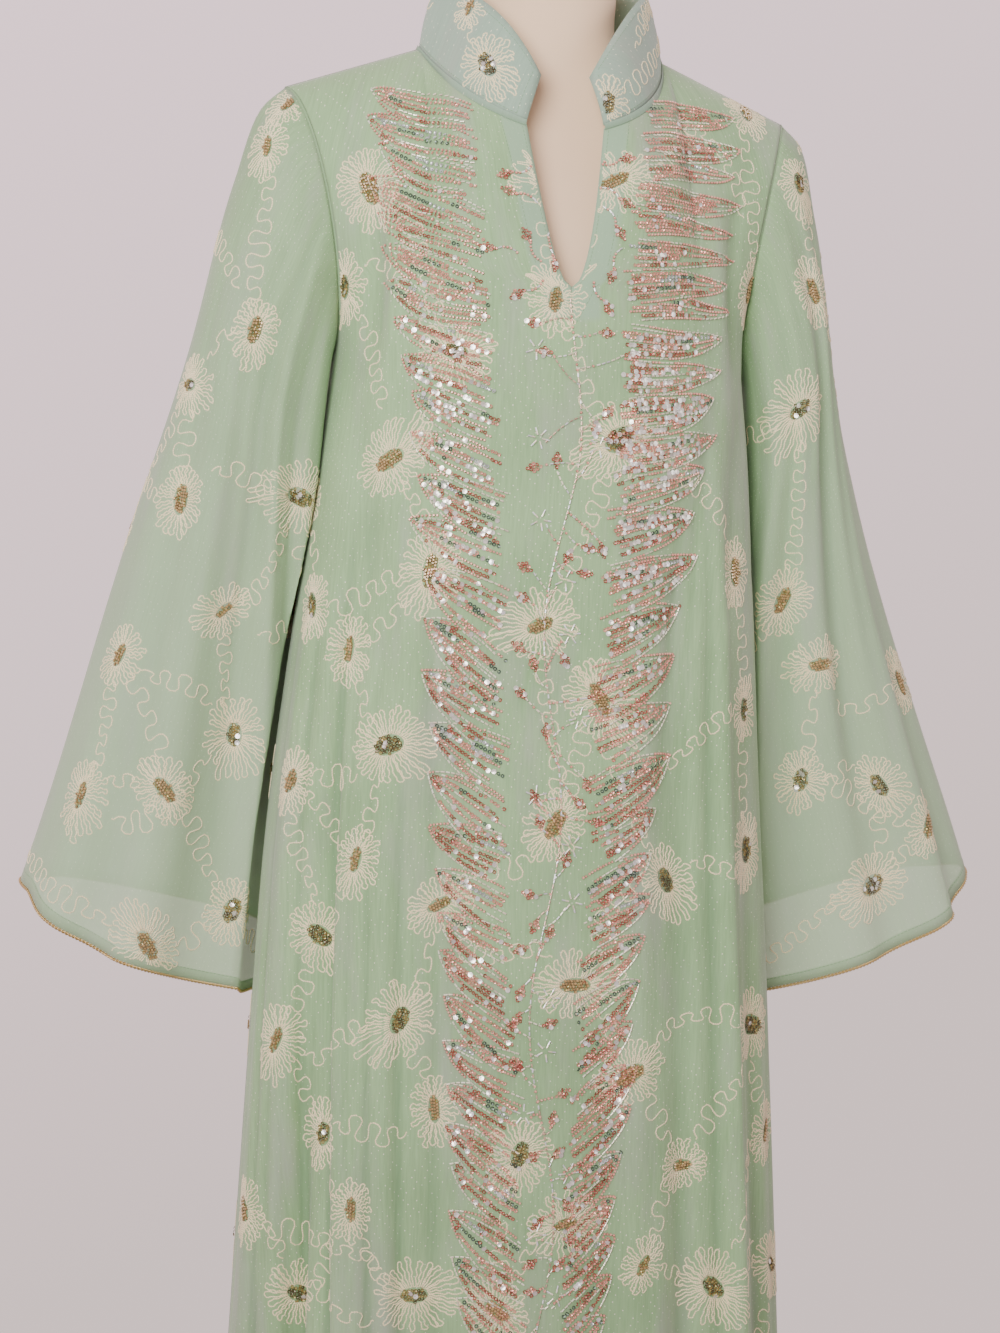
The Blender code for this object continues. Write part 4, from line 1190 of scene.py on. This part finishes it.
def make_leaves(cloth, side, name, finish, rng):
    """One band of sequin leaves down the front. The outlines come first, and the inner rows stop where they
    would run into beads that are there already."""
    batch = Batch()
    table = np.array(LEAF_BANDS[side])[::-1]
    z = LEAF_TOP - 0.004 * side
    before = np.zeros((0, 2))
    while z > LEAF_LOW:
        rows = leaf_rows(side, z, rng)
        last = len(rows) - 1
        order = [0, last, last - 1, 1] + sorted(range(2, last - 1), key=lambda k: (k % 2, k))
        here, turns, kinds = np.zeros((0, 2)), [], []
        for k in order:
            mix = LEAF_ROWS[int(round(k / last * (len(LEAF_ROWS) - 1)))]
            spots, headings, names = walk_row(rows[k], mix, z, GLINT_SHARE[side] * glint_share(z), rng)
            taken = np.vstack([before, here])
            keep = np.ones(len(spots), bool)
            if len(taken):
                apart = np.linalg.norm(spots[:, None] - taken[None], axis=-1).min(1)
                keep = apart > BEAD_ROOM * (0.6 if k in (0, last) else 1.0)
            here = np.vstack([here, spots[keep]])
            turns.append(headings[keep])
            kinds += [n for n, good in zip(names, keep) if good]
        place_beads(batch, cloth, cloth.find(*here.T), np.concatenate(turns), kinds, rng)
        before = here
        z -= table_curve(z, table[:, 0], table[:, 1]) * rng.uniform(0.88, 1.12)
    return batch.build(name, finish, coloured=True)


def twig_line(beads, cloth, points, kind, rng):
    """A line of bugles with a few seed beads, or of seed beads, through points x, z."""
    along = lengths(points)
    s = np.arange(0.0006, along[-1], 1.1 * BEADS[kind][2])
    if len(s) < 2:
        return
    x, z = along_line(s, along, points).T
    heading = np.arctan2(np.gradient(z), np.gradient(x))
    names = [kind if rng.random() < 0.65 else ("seed", "silver")[int(rng.integers(2))] for _ in s]
    place_beads(beads, cloth, cloth.find(x, z), heading, names, rng)


def bud(beads, cloth, x, z, heading, rng):
    """A drop-shaped cluster of rose and copper sequins, about 12 mm long."""
    spots = [(a, (k - (n - 1) / 2) * 0.0030) for a, n in BUD_ROWS for k in range(n)]
    a, b = (np.array(spots) + rng.uniform(-0.0003, 0.0003, (len(spots), 2))).T
    right, up = turned(a, b, heading)
    # White foil discs among the bud's sequins, as painted glints, more at the bust
    glint = 1.2 * glint_share(z) + 0.04
    mix = (0.50 - glint, 0.50, glint)
    names = [("rose", "copper", "mirror")[int(rng.choice(3, p=mix))] for _ in spots]
    place_beads(beads, cloth, cloth.find(x + right, z + up), heading, names, rng)


def burst(beads, cloth, x, z, rng):
    """Five or six bugles that stand round a point, in two circles."""
    count = int(rng.integers(5, 7))
    turns = tau * np.arange(count) / count + rng.uniform(-0.3, 0.3)
    for radius, kind in ((0.0042, "dash"), (0.0072, "silver")):
        places = cloth.find(x + radius * np.cos(turns), z + radius * np.sin(turns))
        place_beads(beads, cloth, places, turns, [kind] * count, rng)


def make_centre_vine(cloth, finish, rng):
    """Beaded twigs with rose buds down the middle of the front, and a few buds beside the slit."""
    beads = Batch()
    z = np.arange(1.262, 0.09, -0.004)
    x = sway(z) + 0.011 * np.sin((1.245 - z) / 0.050) * np.clip((1.34 - z) * 5, 0.3, 1)
    twig_line(beads, cloth, np.stack([x, z], -1), "twig", rng)
    side = 1
    for n, at in enumerate(np.arange(1.246, 0.10, -0.0125)):
        side = -side if rng.random() < 0.85 else side
        start = np.array([np.interp(at, z[::-1], x[::-1]), at])
        reach = rng.uniform(0.35, 0.95) * np.interp(at, *TWIG_ROOM)
        lean = rng.uniform(-0.9, 1.2)
        end = start + reach * np.array([side * cos(lean), sin(lean)])
        bend = (start + end) / 2 + np.array([0.0, rng.uniform(-0.007, 0.007)])
        kind = ("dash", "dash", "twig", "seed")[int(rng.integers(4))]
        twig_line(beads, cloth, bezier(np.linspace(0, 1, 12), start, bend, end), kind, rng)
        if n % 4 == 2:
            burst(beads, cloth, end[0] + side * 0.005, end[1] + 0.004, rng)
        else:
            heading = np.arctan2(sin(lean), side * cos(lean)) + rng.uniform(-0.7, 0.7)
            bud(beads, cloth, *end, heading, rng)
    for x, z, heading, curl in SLIT_BUDS:
        heading = radians(heading)
        bud(beads, cloth, x, z, heading, rng)
        start = np.array([x, z])
        end = start - 0.017 * np.array([cos(heading), sin(heading)])
        bend = (start + end) / 2 + 0.006 * curl * np.array([-sin(heading), cos(heading)])
        twig_line(beads, cloth, bezier(np.linspace(0, 1, 10), start, bend, end), "seed", rng)
    return beads.build("centre_vine", finish, coloured=True)


def make_flowers(cloth, thread, metal, rng):
    """All the corded flowers and vines of one cloth, with their filled middles."""
    cords, beads = Batch(), Batch()
    placed = spread_flowers(cloth, rng)
    join_flowers(cords, cloth, placed, rng)
    for row, column, flower in placed:
        add_flower(cords, beads, cloth, row, column, flower, rng)
    return [
        cords.build("cords_" + cloth.name, thread),
        beads.build("middles_" + cloth.name, metal, coloured=True),
    ]


# Trim


def cloth_line(cloth, rows, columns, lift=0.0):
    """Points over a cloth, and the directions out of it."""
    rows, columns = common(rows, columns)
    normals = cloth.normal(rows, columns)
    return cloth.at(rows, columns) + normals * lift, normals


def make_piping(cloth, finish):
    """Gold cord of two strands twisted together along the cuff's edge."""
    columns = np.arange(0, cloth.columns, 0.5)
    edge, above = (cloth_line(cloth, row, columns, -SLEEVE_SHELL / 2)[0] for row in (0, 1))
    edge = edge + unit(edge - above) * 0.0012
    edge = np.vstack([edge, edge[:1]])
    along = lengths(edge)
    count = int(along[-1] / TWIST_PITCH) * TWIST_STEPS
    line = along_line(np.linspace(0, along[-1], count, endpoint=False), along, edge)
    ahead = unit(np.roll(line, -1, 0) - np.roll(line, 1, 0))
    out = square_to(unit(line - line.mean(0)), ahead)
    side = np.cross(ahead, out)
    batch = Batch()
    for start in (0.0, pi):
        phase = (np.arange(count) * tau / TWIST_STEPS + start)[:, None]
        centre = line + STRAND_RADIUS * 0.85 * (np.cos(phase) * out + np.sin(phase) * side)
        spokes = circle(STRAND_SIDES)[:, :2] @ np.stack([out, side], 1)
        ring = centre[:, None] + STRAND_RADIUS * spokes
        batch.add(ring, grid_faces(count, STRAND_SIDES, (True, True), (0, 3, 2, 1)).tolist())
    return batch.build("cord_" + cloth.name, finish)


def make_hem(cloth, finish):
    """The folded strip inside the cuff's edge."""
    step = np.linalg.norm(cloth.at([1.0], [0.0]) - cloth.at([0.0], [0.0]))
    count = max(2, int(round(HEM_DEPTH / step)) + 1)
    rows, columns = np.linspace(0.0, HEM_DEPTH / step, count + 2)[:, None], np.arange(cloth.columns)[None, :]
    grid, _ = cloth_line(cloth, rows, columns, -SLEEVE_SHELL - 0.0003)
    strip = Cloth("hem_" + cloth.name, [grid], closed=True, mirror=cloth.mirror)
    return shell_mesh(strip, strip.name, finish, 0.0006)


def stitch_line(batch, points, normals):
    """Dashes of thread along a line."""
    along = lengths(points)
    for start in np.arange(0, along[-1] - STITCH, STITCH + STITCH_GAP):
        s = np.linspace(start, start + STITCH, 3)
        places, out = along_line(s, along, points), unit(along_line(s, along, normals))
        add_ribbon(batch, places, out, STITCH_HALF_WIDTH, 0.00025)


def make_stitches(cloths, finish):
    """Top-stitching on the collar, the slit, the cuffs and the hem."""
    batch = Batch()
    band, front = cloths["collar"], cloths["front"]
    edges, ends = (0.8, COLLAR_ROWS - 0.8), (1.2, band.columns - 2.2)
    lines = [(band, row, np.linspace(*ends, 400)) for row in edges]
    lines += [(band, np.linspace(*edges, 30), column) for column in ends]
    reach, top = np.linspace(1.2, 7.2, 20), front.rows - 1.6
    for side in (-1, 1):
        lines.append((front, np.linspace(SLIT_ROW + 0.5, top, 60), side * 1.1))
        lines.append((front, np.linspace(SLIT_ROW - 5, top, 80)[20:], side * 6.7))
        lines.append((front, SLIT_ROW - 6 + 0.92 * reach, side * reach))
    for cloth in (front, cloths["back"]):
        lines += [(cloth, 2.0, side * np.linspace(0, cloth.columns - 1.2, 400)) for side in (-1, 1)]
    for cloth in (cloths["sleeve_right"], cloths["sleeve_left"]):
        lines.append((cloth, 1.0, np.linspace(0, cloth.columns, 600)))
    for line in lines:
        stitch_line(batch, *cloth_line(*line))
    return batch.build("stitches", finish)


def shoulder_line(grid):
    """Shoulder edge of a half panel, from the neck point out."""
    edge = grid[-1]
    neck_point = np.array(NECK_POINT) * [np.sign(edge[-1, 0]), 1, 1]
    start = edge[np.linalg.norm(edge - neck_point, axis=1).argmin()]
    t = np.linspace(0, 1, 40)[:, None]
    return start * (1 - t) + edge[-1] * t


def make_seams(cloths, finish):
    """Narrow raised seams over the joins of the cloth pieces: sides, shoulders and armholes."""
    batch = Batch()
    for side, front, back in zip((-1, 1), cloths["front"].panels[::-1], cloths["back"].panels[::-1]):
        side_seam = (front[: BODY_LOWER_ROWS + 1, -1] + back[: BODY_LOWER_ROWS + 1, -1]) / 2
        for line, rise in ((side_seam, 0.0), ((shoulder_line(front) + shoulder_line(back)) / 2, 0.4)):
            out = line * [1, 0.3, 0] + [0, 0, rise]
            out = square_to(out, unit(np.gradient(line, axis=0)))
            add_ribbon(batch, line - out * 0.0004, out, 0.0013, 0.0006)
        loop = armhole(np.linspace(0, 360, 121)[:-1], side)
        out = unit(loop - np.array([side * 0.13, 0.01, 1.32]))
        loop = loop + np.array([side * 0.0013, 0.0, 0.0]) + out * 0.0005
        add_ribbon(batch, loop, out, 0.0010, 0.0004, closed=True)
    return batch.build("seams", finish)


def make_neck_seam(finish):
    """The collar's base turned down over the neckline."""
    around = np.linspace(-1, 1, 241)
    back = 1 - np.abs(around)
    behind = back >= 0.5
    share = NECK_SHARE * np.where(behind, 2 - 2 * back, 2 * back)
    top = collar(around, 0.04)
    lines = [top + unit(top * [1, 1, 0]) * 0.0006]
    for up, out_by in ((1.998, 0.0024), (1.993, 0.0020), (1.990, 0.0010)):
        line = np.where(behind[:, None], panel(share, up, 1, True), panel(share, up, 1, False))
        line[:, 0] *= np.where(around < 0, -1.0, 1.0)
        lines.append(line + unit(line * [1, 1, 0]) * out_by)
    grid = np.stack(lines)
    uv = np.stack(np.broadcast_arrays(lengths(grid[0]), np.arange(len(lines))[:, None] * 0.0015), -1)
    batch = Batch()
    batch.add(grid, grid_faces(*grid.shape[:2], order=(0, 3, 2, 1)).tolist(), uv)
    return batch.build("neck_seam", finish)


def make_facing(front, finish):
    """The strip of collar cloth behind the slit's edges."""
    first, reach = int(SLIT_ROW) - 4, 6
    rows, columns = np.meshgrid(np.arange(first, front.rows), np.arange(reach + 1), indexing="ij")
    panels = []
    for side, grid in zip((1.0, -1.0), front.panels):
        out = front.normal(rows.astype(float), columns * side)
        panels.append(grid[first:, : reach + 1] - out * (BODY_SHELL + 0.0010))
    panels[1][:5, 0] = panels[0][:5, 0]
    return shell_mesh(Cloth("facing", panels), "facing_strip", finish, 0.0008)


# Dress form and stand


def make_form(finish):
    """Torso and neck with a fine jersey skin, and a shallow seam where the neck's cap is sewn on."""
    table = np.array(FORM_SECTIONS)
    heights = np.concatenate([np.linspace(0.8, 1.40, 41), np.linspace(1.40, 1.568, 44)[1:], [1.5715, 1.574]])
    seam = 0.0006 * np.exp(-(((heights - 1.553) / 0.0016) ** 2))
    width, front, behind = table_curve(heights, table[:, 0], table[:, 1:]).T - seam
    sides = 72
    turn = np.arange(sides)[None, :] * tau / sides
    x, y, _ = section(turn, width[:, None], front[:, None], behind[:, None])
    points = np.stack([x, y, heights[:, None] + 0 * x], -1).reshape(-1, 3).tolist()
    faces = grid_faces(len(heights), sides, (False, True)).tolist()
    for row, z, way in ((0, 0.8, -1), (len(heights) - 1, 1.5745, 1)):
        start, middle = row * sides, len(points)
        faces += [[start + c, start + (c + 1) % sides, middle][::way] for c in range(sides)]
        points.append((0.0, 0.0, z))
    piece = make_object("dress_form", points, faces, finish)
    piece.data.set_sharp_from_angle(angle=radians(50))
    return piece


def lathe(name, profile, sides, finish):
    """A turned shape from radius and height pairs, closed on its axis."""
    turn = np.arange(sides) * tau / sides
    points = [(r * cos(t), r * sin(t), z) for r, z in profile for t in turn]
    last = (len(profile) - 1) * sides
    faces = grid_faces(len(profile), sides, (False, True)).tolist()
    faces += [list(range(sides))[::-1], list(range(last, last + sides))]
    piece = make_object(name, points, faces, finish)
    piece.data.set_sharp_from_angle(angle=radians(40))
    return piece


def make_stand(steel):
    """A round base plate with a rounded rim, and a tube with the ferrule that holds it."""
    t, r, bevel = BASE_THICKNESS, POLE_RADIUS, 0.0035
    rim = [(BASE_RADIUS - bevel * (1 - cos(a)), t - bevel * (1 - sin(a))) for a in np.linspace(0, pi / 2, 6)]
    plate = [(BASE_RADIUS - 0.002, 0.0), (BASE_RADIUS, 0.0015), *rim, (0.060, t), (0.020, t)]
    pole = [(r, t + 0.0003), (r, 0.560), (r + 0.0012, 0.5606), (r + 0.0012, 0.600), (r, 0.6006), (r, 0.7997)]
    return lathe("base_plate", plate, 96, steel), lathe("pole_tube", pole, 48, steel)


# Materials


def new_material(name):
    made = bpy.data.materials.new(name)
    made.use_nodes = True
    return made, made.node_tree, made.node_tree.nodes["Principled BSDF"]


def feed(tree, made, **values):
    """Sets a node's settings and sockets. Another node's output is linked, and a number or colour is set."""
    for key, value in values.items():
        if hasattr(made, key):
            setattr(made, key, value)
            continue
        socket = made.inputs[key.replace("_", " ")]
        if isinstance(value, bpy.types.NodeSocket):
            tree.links.new(value, socket)
        else:
            socket.default_value = (*value, 1) if socket.type == "RGBA" else value


def node(tree, kind, output, **values):
    """The named output of a new shader node."""
    made = tree.nodes.new("ShaderNode" + kind)
    feed(tree, made, **values)
    return made.outputs[output]


def maths(tree, operation, *values):
    made = node(tree, "Math", "Value", operation=operation).node
    for socket, value in zip(made.inputs, values):
        if isinstance(value, bpy.types.NodeSocket):
            tree.links.new(value, socket)
        else:
            socket.default_value = value
    return made.outputs["Value"]


def remap(tree, value, low=0.0, high=1.0, start=0.0, end=1.0):
    """low to high as the value goes from start to end."""
    ends = {"From_Min": start, "From_Max": end, "To_Min": low, "To_Max": high}
    return node(tree, "MapRange", "Result", Value=value, **ends)


def mix(tree, factor, first, second):
    return node(tree, "Mix", "Result", data_type="RGBA", Factor=factor, A=first, B=second)


def ramp(tree, value, low, high, start=0.0, end=1.0):
    """Colour low to high as the value goes from start to end."""
    made = tree.nodes.new("ShaderNodeValToRGB")
    for element, colour, place in zip(made.color_ramp.elements, (low, high), (start, end)):
        element.position = place
        element.color = (*colour, 1)
    tree.links.new(value, made.inputs["Fac"])
    return made.outputs["Color"]


def scaled(tree, place, scale, turn=0.0):
    return node(tree, "Mapping", "Vector", Vector=place, Scale=scale, Rotation=(0, 0, radians(turn)))


LIGHT_GREEN = (0.362, 0.553, 0.292)
DARK_GREEN = (0.258, 0.425, 0.207)
BACKED_GREEN = (0.33, 0.49, 0.335)
# Pale green of the thin sleeve towards the cuff: partly the chiffon's thinner look, partly painted light
# shining through it
SHEER_PALE_BACKLIT_GREEN = (0.68, 0.87, 0.62)
SHEER_ALPHA = (0.66, 0.93)
SHEER_SHARE = 0.55
GREY_BLOOM = (0.395, 0.425, 0.365)
# Painted shade: the darker green laid into the hollows of folds and creases
CREASE_SHADE_GREEN = (0.150, 0.270, 0.135)
FLECK = (0.86, 0.87, 0.70)
LILAC_SHEEN = (0.86, 0.80, 0.86)


def chiffon(name, light=LIGHT_GREEN, dark=DARK_GREEN, backed=False, sheer=False, sheen=0.3):
    """Crepe chiffon: a fine upright crinkle, soft cloudy shade, a lilac-grey bloom in places, tiny pale
    metallic flecks on a lattice, and painted shade, a darker green, in the hollows of folds and creases.
    A mask says where it is backed, or how thick a sheer one looks. Towards the cuff a sheer one takes a
    pale green: partly its thinner look, partly painted light shining through it."""
    made, tree, shader = new_material(name)
    place = node(tree, "UVMap", "UV", uv_map="cloth")
    streaks = scaled(tree, place, (520.0, 34.0, 1.0))
    crinkle = node(tree, "TexNoise", "Fac", Vector=streaks, Scale=1.0, Detail=3.0, Roughness=0.6)
    cloud = node(tree, "TexNoise", "Fac", Vector=place, Scale=9.0, Detail=3.0)
    shade = maths(tree, "MULTIPLY_ADD", crinkle, 0.55, maths(tree, "MULTIPLY", cloud, 0.55))
    base = ramp(tree, shade, dark, light, 0.40, 0.70)
    diagonal = scaled(tree, place, (210.0, 150.0, 1.0), 28)
    lattice = node(tree, "TexVoronoi", "Distance", Vector=diagonal, Scale=1.0, Randomness=0.12)
    base = mix(tree, maths(tree, "LESS_THAN", lattice, 0.085), base, FLECK)
    patches = scaled(tree, place, (17.0, 4.2, 1.0))
    veil = node(tree, "TexNoise", "Fac", Vector=patches, Scale=1.0, Detail=4.0, Roughness=0.62)
    base = mix(tree, remap(tree, veil, high=0.75, start=0.50, end=0.72), base, GREY_BLOOM)
    # Painted shade: darker green where the cloth curves inward, in the hollows of its folds and creases
    pointed = node(tree, "NewGeometry", "Pointiness")
    base = mix(tree, remap(tree, pointed, high=0.55, start=0.503, end=0.460), base, CREASE_SHADE_GREEN)
    if backed or sheer:
        mask = node(tree, "Attribute", "Fac", attribute_name="backed")
    if backed:
        base = mix(tree, mask, base, BACKED_GREEN)
    if sheer:
        # Towards the cuff the sleeve turns pale green: its thinner look, and painted light shining through
        # it
        base = mix(tree, SHEER_SHARE, base, mix(tree, mask, SHEER_PALE_BACKLIT_GREEN, base))
        feed(tree, shader, Alpha=remap(tree, mask, *SHEER_ALPHA))
    bump = node(tree, "Bump", "Normal", Height=crinkle, Strength=0.22, Distance=0.0004)
    feed(tree, shader, Base_Color=base, Normal=bump, Roughness=0.72, Specular_IOR_Level=0.25)
    feed(tree, shader, Sheen_Weight=sheen, Sheen_Roughness=0.45, Sheen_Tint=LILAC_SHEEN)
    return made


def cord_material():
    """Cream viscose cord with its twist."""
    made, tree, shader = new_material("cream_cord")
    place = scaled(tree, node(tree, "UVMap", "UV", uv_map="cloth"), (1.0, 0.0006, 1.0))
    bands = {"wave_type": "BANDS", "bands_direction": "DIAGONAL"}
    twist = node(tree, "TexWave", "Fac", Vector=place, **bands, Scale=330.0, Distortion=0.4)
    colour = ramp(tree, twist, (0.78, 0.63, 0.36), (1.0, 0.90, 0.60), end=0.55)
    bump = node(tree, "Bump", "Normal", Height=twist, Strength=0.4, Distance=0.0003)
    feed(tree, shader, Base_Color=colour, Normal=bump, Roughness=0.6, Sheen_Weight=0.3)
    return made


def bead_material():
    """Foil sequins and glass beads, coloured by their own tint, which carries each shape's painted shade and
    highlight. Its fourth value says how metallic.
    """
    made, tree, shader = new_material("sequins")
    tint = node(tree, "VertexColor", "Color", layer_name="tint")
    rough = remap(tree, node(tree, "TexNoise", "Fac", Scale=700.0, Detail=1.0), 0.16, 0.44)
    feed(tree, shader, Base_Color=tint, Metallic=tint.node.outputs["Alpha"], Roughness=rough)
    feed(tree, shader, Coat_Weight=0.4, Coat_Roughness=0.08)
    return made


def gold_material():
    """Lurex cord: brassy, with fine darker turns of its wrap."""
    made, tree, shader = new_material("gold_twist")
    noise = node(tree, "TexNoise", "Fac", Scale=1600.0, Detail=2.0)
    colour = ramp(tree, noise, (0.42, 0.27, 0.09), (0.83, 0.63, 0.30))
    bump = node(tree, "Bump", "Normal", Height=noise, Strength=0.3, Distance=0.0002)
    feed(tree, shader, Base_Color=colour, Normal=bump, Metallic=0.75, Roughness=0.36)
    return made


def jersey_material():
    """Fine knitted cover of the form."""
    made, tree, shader = new_material("jersey")
    place = node(tree, "TexCoord", "Object")
    bands = {"wave_type": "BANDS", "bands_direction": "Z"}
    knit = node(tree, "TexWave", "Fac", Vector=place, **bands, Scale=420.0, Distortion=1.5, Detail=1.0)
    cloud = node(tree, "TexNoise", "Fac", Vector=place, Scale=14.0, Detail=3.0)
    colour = ramp(tree, cloud, (0.94, 0.65, 0.42), (1.0, 0.74, 0.51))
    bump = node(tree, "Bump", "Normal", Height=knit, Strength=0.08, Distance=0.0003)
    feed(tree, shader, Base_Color=colour, Normal=bump, Roughness=0.78)
    feed(tree, shader, Sheen_Weight=0.55, Sheen_Tint=(1.0, 0.88, 0.74))
    return made


def steel_material():
    """Satin steel with fine brushing and worn, brighter patches."""
    made, tree, shader = new_material("satin_steel")
    place = node(tree, "TexCoord", "Object")
    brush = node(tree, "TexNoise", "Fac", Vector=place, Scale=300.0, Detail=2.0)
    colour = ramp(tree, brush, (0.45, 0.45, 0.46), (0.66, 0.66, 0.65))
    feed(tree, shader, Base_Color=colour, Roughness=remap(tree, brush, 0.26, 0.44), Metallic=1.0)
    return made


# Camera, light and stage


def set_camera():
    azimuth, elevation = radians(CAMERA_AZIMUTH), radians(CAMERA_ELEVATION)
    back = Vector((sin(azimuth) * cos(elevation), -cos(azimuth) * cos(elevation), sin(elevation)))
    data = bpy.data.cameras.new("camera")
    camera = bpy.data.objects.new("camera", data)
    bpy.context.scene.collection.objects.link(camera)
    camera.location = Vector(CAMERA_TARGET) + CAMERA_DISTANCE * back
    camera.rotation_mode = "QUATERNION"
    roll = Quaternion((0, 0, 1), radians(CAMERA_ROLL))
    camera.rotation_quaternion = (-back).to_track_quat("-Z", "Y") @ roll
    data.sensor_width = SENSOR
    data.lens = SENSOR * CAMERA_DISTANCE / VIEW_HEIGHT
    data.shift_x = CAMERA_SHIFT
    bpy.context.scene.camera = camera


def area_light(name, place, target, size, power, colour, spread):
    data = bpy.data.lights.new(name, "AREA")
    data.shape = "DISK"
    data.size = size
    data.energy = power
    data.color = colour
    data.spread = radians(spread)
    light = bpy.data.objects.new(name, data)
    bpy.context.scene.collection.objects.link(light)
    light.location = place
    light.rotation_mode = "QUATERNION"
    light.rotation_quaternion = (Vector(target) - Vector(place)).to_track_quat("-Z", "Y")


def set_world():
    """Pale lilac-grey room: a bright wall behind the form, darker low down and dimmer in front."""
    world = bpy.data.worlds.new("room")
    bpy.context.scene.world = world
    world.use_nodes = True
    tree = world.node_tree
    place = node(tree, "TexCoord", "Generated")
    across = node(tree, "SeparateXYZ", "X", Vector=place)
    depth, up = (across.node.outputs[axis] for axis in "YZ")
    height = remap(tree, maths(tree, "MULTIPLY_ADD", across, -0.45, up), start=-0.26, end=0.20)
    colour = ramp(tree, height, (0.54, 0.440, 0.430), (0.82, 0.610, 0.665))
    strength = remap(tree, depth, 0.645, 1.95, start=-0.2, end=0.6)
    feed(tree, tree.nodes["Background"], Color=colour, Strength=strength)


def make_floor():
    """Plain pale studio floor, just under the base."""
    made, tree, shader = new_material("floor")
    noise = node(tree, "TexNoise", "Fac", Scale=3.0, Detail=2.0)
    colour = ramp(tree, noise, (0.40, 0.37, 0.37), (0.46, 0.43, 0.43))
    feed(tree, shader, Base_Color=colour, Roughness=0.7)
    bpy.ops.mesh.primitive_circle_add(vertices=128, radius=1.45, fill_type="NGON", location=(0, 0, -0.0005))
    floor = bpy.context.object
    floor.name = "floor"
    floor.data.materials.append(made)


set_camera()
set_world()
area_light("key", (-1.38, -2.5, 1.92), (-0.12, 0, 1.44), 2.0, 21.0, (1.0, 0.985, 0.95), spread=68)
area_light("fill", (2.3, -1.35, 1.75), (0, 0, 1.35), 1.7, 4.0, (1.0, 0.97, 0.94), spread=80)
make_floor()

front_finish = chiffon("green_crepe", backed=True)
back_finish = chiffon("green_crepe_back")
sleeve_finish = chiffon("green_sheer", sheer=True)
hem_finish = chiffon("green_hem", (0.28, 0.50, 0.27), (0.21, 0.40, 0.20), sheen=0.1)
collar_finish = chiffon("fused_collar", (0.38, 0.52, 0.41), (0.30, 0.43, 0.33), sheen=0.25)
cream = cord_material()
sequin = bead_material()
gold = gold_material()

cloths = {"front": body_cloth("front"), "back": body_cloth("back"), "collar": collar_cloth()}
for which in ("right", "left"):
    cloths["sleeve_" + which] = sleeve_cloth(which)


def slit_mask(grid, distance):
    """Where the facing lies behind the front, 0 elsewhere."""
    rows = np.arange(len(grid))[:, None]
    near = 0.8 * smooth((0.024 - distance) / 0.003)
    return near * smooth((rows - (SLIT_ROW - 5)) / 0.6)


def sleeve_mask(grid, distance):
    """1 at the armhole, falling to 0 at the cuff: how thick and green the chiffon looks. Where it is low the
    sleeve is more see-through and paler, partly as painted light shining through it.
    """
    rows = np.arange(len(grid))[:, None] / (len(grid) - 1)
    return rows**1.5 + 0 * distance


SHELLS = {
    "front": (front_finish, BODY_SHELL, slit_mask),
    "back": (back_finish, BODY_SHELL, None),
    "collar": (collar_finish, COLLAR_SHELL, None),
    "sleeve_right": (sleeve_finish, SLEEVE_SHELL, sleeve_mask),
    "sleeve_left": (sleeve_finish, SLEEVE_SHELL, sleeve_mask),
}
pieces = {name: shell_mesh(cloths[name], name + "_shell", *make) for name, make in SHELLS.items()}
facing = make_facing(cloths["front"], collar_finish)
rng = np.random.default_rng(SEED)
extras = {name: make_flowers(cloth, cream, sequin, rng) for name, cloth in cloths.items()}
extras["front"].append(make_leaves(cloths["front"], -1, "leaves_right", sequin, rng))
extras["front"].append(make_leaves(cloths["front"], 1, "leaves_left", sequin, rng))
extras["front"].append(make_centre_vine(cloths["front"], sequin, rng))
make_stitches(cloths, hem_finish)
make_seams(cloths, back_finish)
extras["collar"].append(make_neck_seam(collar_finish))

for which in ("right", "left"):
    cloth = cloths["sleeve_" + which]
    hem = make_hem(cloth, hem_finish)
    cord = make_piping(cloth, gold)
    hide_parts("piping_" + which)
    extras["sleeve_" + which] += [hem, cord]

form = make_form(jersey_material())
base_plate, pole_tube = make_stand(steel_material())

for name, piece in pieces.items():
    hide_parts(name)
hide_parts("facing")
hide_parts("form")
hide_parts("stand_base")
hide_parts("stand_pole")
